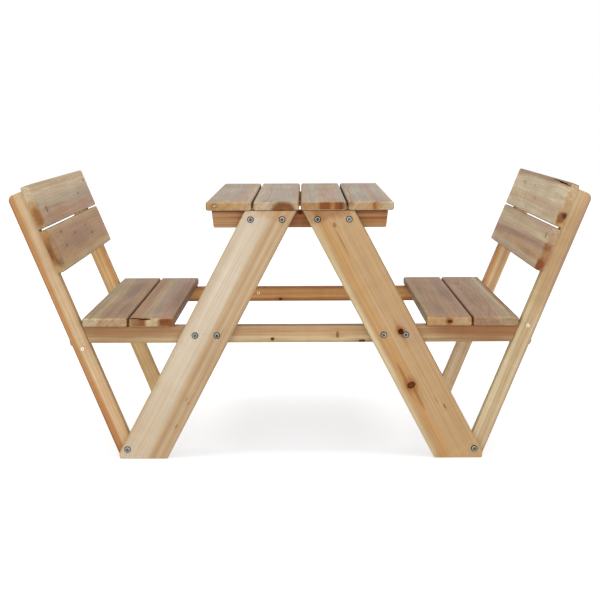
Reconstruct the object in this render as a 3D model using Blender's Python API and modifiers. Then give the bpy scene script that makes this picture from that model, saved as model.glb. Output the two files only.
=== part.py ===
"""Kids picnic table with two seats and two backrests, in natural fir.

An A-frame table: four top boards on two cleats, four slanted legs, two seat rails that run from
backrest post to backrest post, four seat boards, four posts and four backrest boards. Bolts with
sleeve nuts hold the end frames together, and every bolt runs in its own clearance hole.

Frame: origin on the floor in the middle, X across the two seats, Y along the boards, Z up.
Lengths are in metres and angles in degrees. Every solid is closed and stays clear of its neighbours.
"""

import math

import bmesh
import bpy

# Whole table
TABLE_HEIGHT = 0.510
BOARD_LENGTH = 0.800
CLEARANCE = 0.0003

# Boards
BOARD_THICKNESS = 0.018
BOARD_ROUNDING = 0.0035

# Battens, the stock of cleats, seat rails and posts
BATTEN_HEIGHT = 0.034
BATTEN_DEPTH = 0.028
BATTEN_ROUNDING = 0.0022

# Table top
TOP_BOARD_COUNT = 4
TOP_BOARD_WIDTH = 0.0895
TOP_BOARD_GAP = 0.0033

# Cleats under the table top
CLEAT_EDGE_SETBACK = 0.0102
CLEAT_END_ANGLE = 7.0

# Legs, cut level at both ends, with the outer toe cut upright
LEG_ANGLE = 27.8
LEG_WIDTH = 0.090
LEG_THICKNESS = 0.018
LEG_ROUNDING = 0.0028
LEG_FACE_SETBACK = 0.002
LEG_TOP_SPACING = 0.0116
LEG_TOE_HEIGHT = 0.013

# Backrest posts, level at the foot and square at the top, with one rounded top corner
POST_ANGLE = 22.62
POST_LENGTH = 0.5765
POST_TOE_SETBACK = 0.0006
POST_TOP_RADIUS = 0.012
POST_TOP_STEPS = 6
POST_ROUNDING = 0.003

# Seats
SEAT_HEIGHT = 0.282
SEAT_BOARD_WIDTH = 0.0895
SEAT_BOARD_GAP = 0.0025
SEAT_POST_GAP = 0.0026

# Backrests
BACK_BOARD_WIDTH = 0.0895
BACK_BOARD_GAP = 0.0043
BACK_BOARD_RISE = 0.0061

# Frame bolts with button heads, hexagonal key sockets and flanged sleeve nuts
HEAD_RADIUS = 0.0064
HEAD_TOP_RADIUS = 0.004
HEAD_SHOULDER_RADIUS = 0.0057
HEAD_HEIGHT = 0.0032
HEAD_RIM_HEIGHT = 0.0008
HEAD_SHOULDER_HEIGHT = 0.0023
SHANK_RADIUS = 0.003
KEY_RADIUS = 0.0026
KEY_DEPTH = 0.0018
SLEEVE_RADIUS = 0.0042
SLEEVE_LENGTH = 0.015
FLANGE_RADIUS = 0.006
FLANGE_TOP_RADIUS = 0.005
FLANGE_HEIGHT = 0.0016
HOLE_OVERRUN = 0.004
TURN_STEPS = 16

# Places of the frame bolts
CLEAT_BOLT_SPACING = 0.0617
RAIL_BOLT_SPACING = 0.0434
FOOT_BOLT_HEIGHT = 0.0193
FOOT_BOLT_INSET = 0.0053

# Bolts that draw the posts against the rails' ends, square to the posts
POST_BOLT_DROP = 0.0053
POST_BOLT_REACH = 0.026
POST_BOLT_TIP_RADIUS = 0.0018
POST_BOLT_TIP_LENGTH = 0.002

# Small ring screws, two on posts and one on the rear rail
RING_RADIUS = 0.004
RING_TOP_RADIUS = 0.0032
RING_HEIGHT = 0.0013
RING_EDGE_HEIGHT = 0.0007
RING_BORE_RADIUS = 0.0019
RING_BORE_DEPTH = 0.0009
RING_SHANK_RADIUS = 0.0018
RING_SHANK_LENGTH = 0.016
RING_TIP_LENGTH = 0.003
RING_LEFT_BELOW_RAIL = 0.0115
RING_RIGHT_BELOW_RAIL_TOP = 0.0018
RING_REAR_OFFSET_X = -0.1024
RING_REAR_ABOVE_MIDDLE = 0.0028

# Base colours, linear RGB
FIR_GREY = (0.46, 0.38, 0.31)
FIR_BROWN = (0.36, 0.25, 0.17)
FIR_DRAB = (0.43, 0.32, 0.22)
FIR_PALE = (0.66, 0.54, 0.38)
FIR_TAN = (0.55, 0.35, 0.18)
FIR_RED = (0.41, 0.20, 0.09)
ZINC = (0.62, 0.63, 0.64)
FIR_ROUGHNESS = 0.6
ZINC_ROUGHNESS = 0.35

# Heights and depths that follow from the sizes above
TABLETOP_WIDTH = TOP_BOARD_COUNT * (TOP_BOARD_WIDTH + TOP_BOARD_GAP) - TOP_BOARD_GAP
FRAME_TOP = TABLE_HEIGHT - BOARD_THICKNESS - CLEARANCE
CLEAT_MIDDLE = FRAME_TOP - BATTEN_HEIGHT / 2
RAIL_TOP = SEAT_HEIGHT - BOARD_THICKNESS - CLEARANCE
RAIL_MIDDLE = RAIL_TOP - BATTEN_HEIGHT / 2
RAIL_BOTTOM = RAIL_TOP - BATTEN_HEIGHT
FRAME_FACE_Y = BOARD_LENGTH / 2 - LEG_FACE_SETBACK
BATTEN_FACE_DEPTH = LEG_THICKNESS + CLEARANCE
BATTEN_MIDDLE_DEPTH = BATTEN_FACE_DEPTH + BATTEN_DEPTH / 2
BOLT_GRIP = BATTEN_FACE_DEPTH + BATTEN_DEPTH

# The legs' and posts' places that follow from the sizes above
LEG_TAN = math.tan(math.radians(LEG_ANGLE))
LEG_HALF = LEG_WIDTH / 2 / math.cos(math.radians(LEG_ANGLE))
LEG_FOOT_X = LEG_TOP_SPACING / 2 + LEG_HALF + LEG_TAN * FRAME_TOP
LEG_TOE_CUT = LEG_TOE_HEIGHT * LEG_TAN
POST_TAN = math.tan(math.radians(POST_ANGLE))
POST_COS = math.cos(math.radians(POST_ANGLE))
POST_SIN = math.sin(math.radians(POST_ANGLE))
POST_OUTER_FOOT_X = LEG_FOOT_X + LEG_HALF - LEG_TOE_CUT - POST_TOE_SETBACK
POST_INNER_FOOT_X = POST_OUTER_FOOT_X - BATTEN_HEIGHT / POST_COS

SIDES = (("left", -1), ("right", 1))
ENDS = (("front", -1), ("rear", 1))


def clear_scene():
    """Removes the objects and data that the file opened with."""
    for thing in list(bpy.data.objects):
        bpy.data.objects.remove(thing)
    for group in (bpy.data.meshes, bpy.data.curves, bpy.data.materials, bpy.data.collections):
        for block in list(group):
            group.remove(block)


def make_collection(name):
    """Adds a collection to the scene."""
    collection = bpy.data.collections.new(name)
    bpy.context.scene.collection.children.link(collection)
    return collection


def make_material(name, colour, roughness, metallic):
    """A plain Principled material."""
    material = bpy.data.materials.new(name)
    material.use_nodes = True
    shader = material.node_tree.nodes["Principled BSDF"]
    shader.inputs["Base Color"].default_value = (*colour, 1.0)
    shader.inputs["Roughness"].default_value = roughness
    shader.inputs["Metallic"].default_value = metallic
    material.diffuse_color = (*colour, 1.0)
    return material


def add_object(name, data, collection, parent, location, rotation=(0.0, 0.0, 0.0)):
    """Puts data in a new object, placed in its parent's frame; the rotation is in degrees."""
    thing = bpy.data.objects.new(name, data)
    collection.objects.link(thing)
    thing.parent = parent
    thing.location = location
    thing.rotation_euler = [math.radians(angle) for angle in rotation]
    return thing


def paint(thing, material):
    """Gives an object its own material, also where it shares its mesh."""
    if not thing.data.materials:
        thing.data.materials.append(None)
    thing.material_slots[0].link = "OBJECT"
    thing.material_slots[0].material = material


def evaluated_mesh(thing, name):
    """A new mesh from an object with its modifiers or its curve settings applied."""
    bpy.context.view_layer.update()
    evaluated = thing.evaluated_get(bpy.context.evaluated_depsgraph_get())
    mesh = bpy.data.meshes.new_from_object(evaluated)
    mesh.name = name
    return mesh


def board_mesh(name, width, length, thickness):
    """A board from a cube: width along X, length along Y, thickness along Z."""
    mesh = bpy.data.meshes.new(name)
    bm = bmesh.new()
    bmesh.ops.create_cube(bm, size=1.0)
    bmesh.ops.scale(bm, vec=(width, length, thickness), verts=bm.verts)
    bm.to_mesh(mesh)
    bm.free()
    return mesh


def outline_mesh(name, points, depth):
    """A flat outline as a filled and extruded curve, turned into a welded mesh."""
    curve = bpy.data.curves.new(name, "CURVE")
    curve.dimensions = "2D"
    curve.fill_mode = "BOTH"
    curve.extrude = depth / 2
    spline = curve.splines.new("POLY")
    spline.points.add(len(points) - 1)
    for point, (x, y) in zip(spline.points, points):
        point.co = (x, y, 0.0, 1.0)
    spline.use_cyclic_u = True
    drawn = bpy.data.objects.new(name, curve)
    bpy.context.scene.collection.objects.link(drawn)
    mesh = evaluated_mesh(drawn, name)
    bpy.data.objects.remove(drawn)
    bpy.data.curves.remove(curve)
    bm = bmesh.new()
    bm.from_mesh(mesh)
    bmesh.ops.remove_doubles(bm, verts=bm.verts, dist=0.00001)
    bmesh.ops.dissolve_limit(bm, angle_limit=math.radians(1.0), verts=bm.verts, edges=bm.edges)
    bmesh.ops.recalc_face_normals(bm, faces=bm.faces)
    bm.to_mesh(mesh)
    bm.free()
    return mesh


def turned_mesh(name, profile, key_socket=None):
    """A profile of (radius, height) pairs, listed from the top down, turned about Z."""
    lathe = bpy.data.meshes.new(name)
    points = [(radius, 0.0, height) for radius, height in profile]
    lathe.from_pydata(points, [(i, i + 1) for i in range(len(points) - 1)], [])
    blank = bpy.data.objects.new(name, lathe)
    bpy.context.scene.collection.objects.link(blank)
    screw = blank.modifiers.new("turn", "SCREW")
    screw.steps = TURN_STEPS
    screw.render_steps = TURN_STEPS
    screw.use_merge_vertices = True
    screw.merge_threshold = 0.00001
    if key_socket is not None:
        add_cut(blank, key_socket, "key socket")
    mesh = evaluated_mesh(blank, name)
    mesh.shade_smooth()
    mesh.set_sharp_from_angle(angle=math.radians(40.0))
    bpy.data.objects.remove(blank)
    bpy.data.meshes.remove(lathe)
    return mesh


def add_rounding(thing, width):
    """Rounds the sharp edges of a solid."""
    bevel = thing.modifiers.new("rounding", "BEVEL")
    bevel.width = width
    bevel.segments = 3
    bevel.limit_method = "ANGLE"
    bevel.angle_limit = math.radians(35.0)


def add_cut(thing, cutter, label):
    """Cuts one solid out of another."""
    cut = thing.modifiers.new(label, "BOOLEAN")
    cut.operation = "DIFFERENCE"
    cut.solver = "EXACT"
    cut.object = cutter


def finish_wood(thing, rounding, colour):
    """Rounds the edges of a piece of wood and gives it its colour."""
    add_rounding(thing, rounding)
    paint(thing, make_material(thing.name + "_fir", colour, FIR_ROUGHNESS, 0.0))
    return thing


def mirrored(points, side):
    """An outline drawn for the right side, turned over for the left one."""
    return [(side * x, y) for x, y in points]


def leg_centre_x(height):
    """X of a right leg's middle line at a height."""
    return LEG_FOOT_X - LEG_TAN * height


def post_inner_x(height):
    """X of a right post's inner edge at a height."""
    return POST_INNER_FOOT_X + POST_TAN * height


def post_centre_x(height):
    """X of a right post's middle line at a height."""
    return post_inner_x(height) + BATTEN_HEIGHT / 2 / POST_COS


def post_point(along, outward):
    """X and Z on a right post: along its inner edge from the floor, and outwards, square to it."""
    x = POST_INNER_FOOT_X + along * POST_SIN + outward * POST_COS
    z = along * POST_COS - outward * POST_SIN
    return x, z


def make_tabletop(parts, root):
    """The boards of the table top, side by side."""
    pitch = TOP_BOARD_WIDTH + TOP_BOARD_GAP
    for i in range(TOP_BOARD_COUNT):
        x = (i - (TOP_BOARD_COUNT - 1) / 2) * pitch
        name = f"tabletop_board_{i + 1}"
        mesh = board_mesh(name, TOP_BOARD_WIDTH, BOARD_LENGTH, BOARD_THICKNESS)
        board = add_object(name, mesh, parts, root, (x, 0.0, TABLE_HEIGHT - BOARD_THICKNESS / 2))
        finish_wood(board, BOARD_ROUNDING, FIR_GREY)


def make_seat(side_name, side, parts, root):
    """Two boards on the seat rails, the outer one close to the posts."""
    outer_edge = post_inner_x(RAIL_TOP + CLEARANCE) - SEAT_POST_GAP
    z = SEAT_HEIGHT - BOARD_THICKNESS / 2
    for i, place in enumerate(("outer", "inner")):
        x = outer_edge - SEAT_BOARD_WIDTH / 2 - i * (SEAT_BOARD_WIDTH + SEAT_BOARD_GAP)
        name = f"seat_board_{side_name}_{place}"
        mesh = board_mesh(name, SEAT_BOARD_WIDTH, BOARD_LENGTH, BOARD_THICKNESS)
        board = add_object(name, mesh, parts, root, (side * x, 0.0, z))
        finish_wood(board, BOARD_ROUNDING, FIR_BROWN)


def make_backrest(side_name, side, parts, root):
    """Two boards on the inner edges of the posts, tilted with them."""
    inward = CLEARANCE + BOARD_THICKNESS / 2
    for i, place in enumerate(("upper", "lower")):
        top = POST_LENGTH + BACK_BOARD_RISE - i * (BACK_BOARD_WIDTH + BACK_BOARD_GAP)
        x, z = post_point(top - BACK_BOARD_WIDTH / 2, -inward)
        name = f"back_board_{side_name}_{place}"
        mesh = board_mesh(name, BOARD_THICKNESS, BOARD_LENGTH, BACK_BOARD_WIDTH)
        board = add_object(name, mesh, parts, root, (side * x, 0.0, z), (0.0, side * POST_ANGLE, 0.0))
        finish_wood(board, BOARD_ROUNDING, FIR_DRAB)


def make_leg(name, end, side, parts, frame):
    """A slanted leg; its outline starts at the middle of its foot."""
    lean = LEG_TAN * FRAME_TOP
    points = [
        (-LEG_HALF, 0.0),
        (LEG_HALF - LEG_TOE_CUT, 0.0),
        (LEG_HALF - LEG_TOE_CUT, LEG_TOE_HEIGHT),
        (LEG_HALF - lean, FRAME_TOP),
        (-LEG_HALF - lean, FRAME_TOP),
    ]
    mesh = outline_mesh(name, mirrored(points, side), LEG_THICKNESS)
    place = (side * LEG_FOOT_X, -end * LEG_THICKNESS / 2, 0.0)
    leg = add_object(name, mesh, parts, frame, place, (90.0, 0.0, 0.0))
    return finish_wood(leg, LEG_ROUNDING, FIR_PALE if side < 0 else FIR_TAN)


def make_post(name, end, side, parts, frame):
    """A leaning backrest post; its outline starts at the inner corner of its foot."""
    points = [(0.0, 0.0), (BATTEN_HEIGHT, BATTEN_HEIGHT * POST_TAN)]
    for i in range(POST_TOP_STEPS + 1):
        angle = math.pi / 2 * i / POST_TOP_STEPS
        x = BATTEN_HEIGHT - POST_TOP_RADIUS * (1.0 - math.cos(angle))
        y = POST_LENGTH - POST_TOP_RADIUS * (1.0 - math.sin(angle))
        points.append((x, y))
    points.append((0.0, POST_LENGTH))
    mesh = outline_mesh(name, mirrored(points, side), BATTEN_DEPTH)
    place = (side * POST_INNER_FOOT_X, -end * BATTEN_MIDDLE_DEPTH, 0.0)
    post = add_object(name, mesh, parts, frame, place, (90.0, side * POST_ANGLE, 0.0))
    return finish_wood(post, POST_ROUNDING, FIR_TAN)


def make_cleat(name, end, parts, frame):
    """The batten under the table boards, its ends cut back towards the bottom."""
    top = TABLETOP_WIDTH / 2 - CLEAT_EDGE_SETBACK
    bottom = top - BATTEN_HEIGHT * math.tan(math.radians(CLEAT_END_ANGLE))
    half = BATTEN_HEIGHT / 2
    points = [(-bottom, -half), (bottom, -half), (top, half), (-top, half)]
    mesh = outline_mesh(name, points, BATTEN_DEPTH)
    place = (0.0, -end * BATTEN_MIDDLE_DEPTH, CLEAT_MIDDLE)
    cleat = add_object(name, mesh, parts, frame, place, (90.0, 0.0, 0.0))
    return finish_wood(cleat, BATTEN_ROUNDING, FIR_RED)


def make_rail(name, end, parts, frame):
    """The seat rail, its ends cut to lie against the posts."""
    gap = CLEARANCE / POST_COS
    low = post_inner_x(RAIL_BOTTOM) - gap
    high = post_inner_x(RAIL_TOP) - gap
    half = BATTEN_HEIGHT / 2
    points = [(-low, -half), (low, -half), (high, half), (-high, half)]
    mesh = outline_mesh(name, points, BATTEN_DEPTH)
    place = (0.0, -end * BATTEN_MIDDLE_DEPTH, RAIL_MIDDLE)
    rail = add_object(name, mesh, parts, frame, place, (90.0, 0.0, 0.0))
    return finish_wood(rail, BATTEN_ROUNDING, FIR_TAN if end < 0 else FIR_RED)


def head_profile():
    """The button head and the top of the shank, from the shank's side to the head's crown."""
    seat = -CLEARANCE
    return [
        (SHANK_RADIUS, seat),
        (HEAD_RADIUS, seat),
        (HEAD_RADIUS, seat - HEAD_RIM_HEIGHT),
        (HEAD_SHOULDER_RADIUS, seat - HEAD_SHOULDER_HEIGHT),
        (HEAD_TOP_RADIUS, seat - HEAD_HEIGHT),
        (0.0, seat - HEAD_HEIGHT),
    ]


def frame_bolt_profile():
    """A bolt with its sleeve nut, through wood that fills the heights from 0 to the grip."""
    nut = BOLT_GRIP + CLEARANCE
    sleeve_end = BOLT_GRIP - SLEEVE_LENGTH
    return [
        (0.0, nut + FLANGE_HEIGHT),
        (FLANGE_TOP_RADIUS, nut + FLANGE_HEIGHT),
        (FLANGE_RADIUS, nut),
        (SLEEVE_RADIUS, nut),
        (SLEEVE_RADIUS, sleeve_end),
        (SHANK_RADIUS, sleeve_end),
    ] + head_profile()


def frame_bolt_hole_profile():
    """The stepped clearance hole of a frame bolt, cut past both faces of the wood."""
    step = BOLT_GRIP - SLEEVE_LENGTH - CLEARANCE
    narrow = SHANK_RADIUS + CLEARANCE
    wide = SLEEVE_RADIUS + CLEARANCE
    return [
        (0.0, BOLT_GRIP + HOLE_OVERRUN),
        (wide, BOLT_GRIP + HOLE_OVERRUN),
        (wide, step),
        (narrow, step),
        (narrow, -HOLE_OVERRUN),
        (0.0, -HOLE_OVERRUN),
    ]


def post_bolt_profile():
    """A bolt through a post that ends inside the rail."""
    end = BATTEN_HEIGHT + POST_BOLT_REACH
    return [
        (0.0, end),
        (POST_BOLT_TIP_RADIUS, end),
        (SHANK_RADIUS, end - POST_BOLT_TIP_LENGTH),
    ] + head_profile()


def blind_hole_profile(radius, depth):
    """A plain clearance hole that is closed at its far end."""
    wide = radius + CLEARANCE
    end = depth + CLEARANCE
    return [(0.0, end), (wide, end), (wide, -HOLE_OVERRUN), (0.0, -HOLE_OVERRUN)]


def ring_profile():
    """A small ring screw with a round bore in its head."""
    seat = -CLEARANCE
    top = seat - RING_HEIGHT
    return [
        (0.0, RING_SHANK_LENGTH),
        (RING_SHANK_RADIUS, RING_SHANK_LENGTH - RING_TIP_LENGTH),
        (RING_SHANK_RADIUS, seat),
        (RING_RADIUS, seat),
        (RING_RADIUS, seat - RING_EDGE_HEIGHT),
        (RING_TOP_RADIUS, top),
        (RING_BORE_RADIUS, top),
        (RING_BORE_RADIUS, top + RING_BORE_DEPTH),
        (0.0, top + RING_BORE_DEPTH),
    ]


def make_key_socket(cutters):
    """The hexagonal pocket in a bolt's head, as a cutter."""
    mesh = bpy.data.meshes.new("key_socket")
    bm = bmesh.new()
    bmesh.ops.create_cone(bm, cap_ends=True, segments=6, radius1=KEY_RADIUS, radius2=KEY_RADIUS,
                          depth=2 * KEY_DEPTH)
    bm.to_mesh(mesh)
    bm.free()
    return add_object("key_socket", mesh, cutters, None, (0.0, 0.0, -CLEARANCE - HEAD_HEIGHT))


def make_hardware_meshes(cutters):
    """The meshes that the fasteners and their holes share, in pairs."""
    socket = make_key_socket(cutters)
    meshes = {
        "frame": (turned_mesh("frame_bolt", frame_bolt_profile(), socket),
                  turned_mesh("frame_bolt_hole", frame_bolt_hole_profile())),
        "post": (turned_mesh("post_bolt", post_bolt_profile(), socket),
                 turned_mesh("post_bolt_hole",
                             blind_hole_profile(SHANK_RADIUS, BATTEN_HEIGHT + POST_BOLT_REACH))),
        "ring": (turned_mesh("ring_screw", ring_profile()),
                 turned_mesh("ring_screw_hole",
                             blind_hole_profile(RING_SHANK_RADIUS, RING_SHANK_LENGTH))),
    }
    bpy.data.objects.remove(socket)
    return meshes


def add_fastener(name, meshes, place, rotation, through, parts, cutters, frame):
    """A bolt or screw, and its clearance hole in each piece that it goes through."""
    bolt_mesh, hole_mesh = meshes
    fastener = add_object(name, bolt_mesh, parts, frame, place, rotation)
    paint(fastener, make_material(name + "_zinc", ZINC, ZINC_ROUGHNESS, 1.0))
    hole = add_object("hole_" + name, hole_mesh, cutters, frame, place, rotation)
    hole.hide_render = True
    hole.display_type = "WIRE"
    for piece in through:
        add_cut(piece, hole, "hole " + name)


def add_leg_bolts(end_name, end, side_name, side, pieces, meshes, parts, cutters, frame):
    """Two bolts from a leg into the cleat, two into the rail and one into the post's foot."""
    leg = pieces["leg_" + side_name]
    turn = (end * 90.0, 0.0, 0.0)
    rows = (
        ("cleat_bolt", CLEAT_MIDDLE, CLEAT_BOLT_SPACING, pieces["cleat"]),
        ("rail_bolt", RAIL_MIDDLE, RAIL_BOLT_SPACING, pieces["rail"]),
    )
    for kind, height, spacing, batten in rows:
        for place, offset in (("inner", -spacing / 2), ("outer", spacing / 2)):
            x = side * (leg_centre_x(height) + offset)
            add_fastener(f"{kind}_{end_name}_{side_name}_{place}", meshes, (x, 0.0, height), turn,
                         (leg, batten), parts, cutters, frame)
    x = side * (post_centre_x(FOOT_BOLT_HEIGHT) - FOOT_BOLT_INSET)
    add_fastener(f"foot_bolt_{end_name}_{side_name}", meshes, (x, 0.0, FOOT_BOLT_HEIGHT), turn,
                 (leg, pieces["post_" + side_name]), parts, cutters, frame)


def add_post_bolt(end_name, end, side_name, side, pieces, meshes, parts, cutters, frame):
    """The bolt that holds a post against the end of the seat rail."""
    along = (RAIL_MIDDLE - POST_BOLT_DROP) / POST_COS
    x, z = post_point(along, BATTEN_HEIGHT)
    add_fastener(f"post_bolt_{end_name}_{side_name}", meshes, (side * x, -end * BATTEN_MIDDLE_DEPTH, z),
                 (0.0, side * (POST_ANGLE - 90.0), 0.0), (pieces["post_" + side_name], pieces["rail"]),
                 parts, cutters, frame)


def make_end_frame(end_name, end, meshes, parts, cutters, root):
    """One A-frame with its cleat, rail and posts, and the bolts that join them."""
    frame = add_object("end_frame_" + end_name, None, parts, root, (0.0, end * FRAME_FACE_Y, 0.0))
    pieces = {
        "cleat": make_cleat("tabletop_cleat_" + end_name, end, parts, frame),
        "rail": make_rail("seat_rail_" + end_name, end, parts, frame),
    }
    for side_name, side in SIDES:
        pieces["leg_" + side_name] = make_leg(f"leg_{end_name}_{side_name}", end, side, parts, frame)
        pieces["post_" + side_name] = make_post(f"back_post_{end_name}_{side_name}", end, side, parts, frame)
        add_leg_bolts(end_name, end, side_name, side, pieces, meshes["frame"], parts, cutters, frame)
        add_post_bolt(end_name, end, side_name, side, pieces, meshes["post"], parts, cutters, frame)
    return frame, pieces


def add_front_ring_screws(frame, pieces, meshes, parts, cutters):
    """A ring screw in the front face of each front post."""
    heights = {
        "left": RAIL_BOTTOM - RING_LEFT_BELOW_RAIL,
        "right": RAIL_TOP - RING_RIGHT_BELOW_RAIL_TOP,
    }
    for side_name, side in SIDES:
        z = heights[side_name]
        place = (side * post_centre_x(z), BATTEN_FACE_DEPTH, z)
        add_fastener("ring_screw_post_" + side_name, meshes, place, (-90.0, 0.0, 0.0),
                     (pieces["post_" + side_name],), parts, cutters, frame)


def add_rear_ring_screw(frame, pieces, meshes, parts, cutters):
    """A ring screw in the inner face of the rear rail, which also faces the front."""
    place = (RING_REAR_OFFSET_X, -BOLT_GRIP, RAIL_MIDDLE + RING_REAR_ABOVE_MIDDLE)
    add_fastener("ring_screw_rail_rear", meshes, place, (-90.0, 0.0, 0.0), (pieces["rail"],),
                 parts, cutters, frame)


def main():
    """Builds the table, one named solid for each physical piece."""
    clear_scene()
    bpy.context.scene.unit_settings.system = "METRIC"
    parts = make_collection("kids_picnic_table")
    cutters = make_collection("cutters")
    root = add_object("picnic_table", None, parts, None, (0.0, 0.0, 0.0))
    meshes = make_hardware_meshes(cutters)
    make_tabletop(parts, root)
    for side_name, side in SIDES:
        make_seat(side_name, side, parts, root)
        make_backrest(side_name, side, parts, root)
    frames = {}
    for end_name, end in ENDS:
        frames[end_name] = make_end_frame(end_name, end, meshes, parts, cutters, root)
    add_front_ring_screws(*frames["front"], meshes["ring"], parts, cutters)
    add_rear_ring_screw(*frames["rear"], meshes["ring"], parts, cutters)


main()
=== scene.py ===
"""Dresses the kids picnic table: fir with rings, knots and end grain, zinc bolts and screws, a pale studio.

Each piece stands where the loaded frame says. A piece of wood has its own grain frame: X across the piece,
Y along the grain and Z out of its best face, with the origin in the middle of the piece.
"""

import math
import random
from functools import partialmethod

import bmesh
import bpy
from bpy.props import FloatProperty, FloatVectorProperty, IntProperty, PointerProperty
from mathutils import Matrix, Vector


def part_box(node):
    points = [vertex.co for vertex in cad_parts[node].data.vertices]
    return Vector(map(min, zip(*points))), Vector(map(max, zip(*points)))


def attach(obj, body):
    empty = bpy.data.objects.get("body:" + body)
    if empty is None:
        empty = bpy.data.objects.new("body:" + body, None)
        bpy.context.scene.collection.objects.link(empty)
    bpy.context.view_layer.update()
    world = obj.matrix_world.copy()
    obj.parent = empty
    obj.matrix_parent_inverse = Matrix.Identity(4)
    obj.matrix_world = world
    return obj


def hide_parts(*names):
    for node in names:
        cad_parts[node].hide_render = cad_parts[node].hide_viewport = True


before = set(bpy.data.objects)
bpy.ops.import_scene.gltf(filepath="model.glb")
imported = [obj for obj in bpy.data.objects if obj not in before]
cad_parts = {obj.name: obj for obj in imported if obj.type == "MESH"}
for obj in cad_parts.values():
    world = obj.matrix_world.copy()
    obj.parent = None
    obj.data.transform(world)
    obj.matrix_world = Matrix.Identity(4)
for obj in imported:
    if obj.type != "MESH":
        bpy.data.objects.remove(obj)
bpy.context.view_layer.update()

bl_info = {
    "name": "Kids picnic table looks",
    "version": (1, 0, 0),
    "blender": (4, 5, 0),
    "location": "View3D > Sidebar > Picnic table",
    "description": "Fir boards, zinc fasteners and a pale studio for a kids picnic table",
    "category": "Object",
}

BODY = "root"

# How far the legs and the backrest posts lean from upright, in radians
LEG_LEAN = math.radians(27.8)
POST_LEAN = math.radians(22.62)

X_AXIS = Vector((1.0, 0.0, 0.0))
Y_AXIS = Vector((0.0, 1.0, 0.0))
Z_AXIS = Vector((0.0, 0.0, 1.0))
SIDES = (("left", -1), ("right", 1))
ENDS = (("front", -1), ("rear", 1))

# Points closer than this are one: in a mesh, and in a profile that is turned
MERGE = 0.000001
TURNED_MERGE = 0.00001

# Material slots of the pieces whose narrow sides get the strong painted shade
BOARD_SLOTS = ("tabletop", "seat", "back")

# What a knot does to the wood, before there is any: it pulls the grain, and has a body, a rim and a halo
NO_KNOT = {"Pull": 0.0, "Body": 0.0, "Rim": 0.0, "Halo": 0.0}

# How far wood screws stand from the middle of their board, most of them in an even pair
SCREW_PAIR = (-0.022, 0.022)
SCREW_PAIR_AT_POST = (-0.030, 0.006)

# Edges sharper than this stay sharp, in radians
WOOD_CREASE = math.radians(40.0)
METAL_CREASE = math.radians(35.0)

# Width of the camera's frame, in millimetres
SENSOR_WIDTH = 36.0

# The darker part of the floor, under and before the table, gets less of the glow that only a view sees, while
# further out more glow paints light over the shadows: the shift of its middle to 0, and its reach
SHADE_SHIFT = (0.0, 0.35, 0.0)
SHADE_REACH = (0.55, 1.1, 1.0)

# How far a part of a fastener goes from duller metal and a dark tone, which is painted shade and reflection,
# to shinier metal and a pale tone, which is a painted highlight, from 0 to 1
PAINTED_SHADE_DULL = 0.2
PAINTED_HIGHLIGHT_SHINY = 0.9

# Points round a quarter of a bolt's slope and round half of a ring screw's head
ROUND_STEPS = 6


def srgb(red, green, blue):
    """A colour that is written as it looks on a screen, from 0 to 255, as linear light."""
    return tuple((v / 255 / 12.92) if v < 10.3 else ((v / 255 + 0.055) / 1.055) ** 2.4
                 for v in (red, green, blue))


def colour_property(name, description, default):
    """A colour that the sidebar shows as a swatch."""
    return FloatVectorProperty(name=name, description=description, default=default,
                               subtype="COLOR", size=3, min=0.0, max=1.0)


def length_property(name, description, default):
    """A length in metres."""
    return FloatProperty(name=name, description=description, default=default, unit="LENGTH",
                         min=0.0, precision=5)


def share_property(name, description, default):
    """A share from 0 to 1."""
    return FloatProperty(name=name, description=description, default=default,
                         min=0.0, max=1.0, subtype="FACTOR")


def amount_property(name, description, default, least=0.0):
    """A plain number that isn't below the least."""
    return FloatProperty(name=name, description=description, default=default, min=least)


def angle_property(name, description, default):
    """An angle in radians."""
    return FloatProperty(name=name, description=description, default=default,
                         subtype="ANGLE", unit="ROTATION")


def count_property(name, description, default, least, most):
    """A whole number within its limits."""
    return IntProperty(name=name, description=description, default=default, min=least, max=most)


class FirSettings(bpy.types.PropertyGroup):
    """The tones of the wood, from its palest sapwood to a knot's rim, and the scale of its grain."""

    cream: colour_property("Cream", "Palest sapwood", srgb(222, 205, 178))
    straw: colour_property("Straw", "Sapwood with a yellow tint", srgb(208, 184, 146))
    ash: colour_property("Ash", "Sapwood that has greyed a little", srgb(188, 171, 147))
    tan: colour_property("Tan", "Common heartwood", srgb(194, 157, 116))
    honey: colour_property("Honey", "Warm heartwood", srgb(196, 148, 94))
    rose: colour_property("Rose", "Heartwood with a pink tint", srgb(190, 153, 126))
    dusk: colour_property("Dusk", "Heartwood with a grey-brown tint", srgb(152, 118, 88))
    russet: colour_property("Russet", "Dark red heartwood", srgb(150, 90, 42))
    umber: colour_property("Umber", "The body of a knot", srgb(86, 42, 16))
    bark: colour_property("Bark", "The rim of a knot and the inside of a split", srgb(50, 28, 10))
    late: colour_property("Late wood", "What the dark part of a ring does to a tone", (0.60, 0.44, 0.27))
    warm: colour_property("Warmth", "What a knot does to the wood beside it", (0.72, 0.50, 0.30))
    # The side tones darken the narrow sides and their rounded arrises: painted shade
    board_side_shade: colour_property("Board sides", "What a board's rough narrow sides do to a tone",
                                (0.60, 0.52, 0.40))
    batten_side_shade: colour_property("Leg and post sides", "The same, on legs, posts, cleats and rails",
                                 (1.0, 1.0, 0.9))
    ring_width: length_property("Ring width", "Mean width of a year's ring", 0.0042)
    ring_contrast: share_property("Ring contrast", "How much of the late wood's tone shows", 0.6)
    fibre_contrast: share_property("Fibre contrast", "Strength of the streaks", 0.36)
    roughness: share_property("Roughness", "Roughness of planed, unpainted fir", 0.55)
    gloss: share_property("Gloss", "Specular level of the wood, less in a knot", 0.3)
    relief: length_property("Relief", "Depth of the grain that a finger feels", 0.00025)


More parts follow.
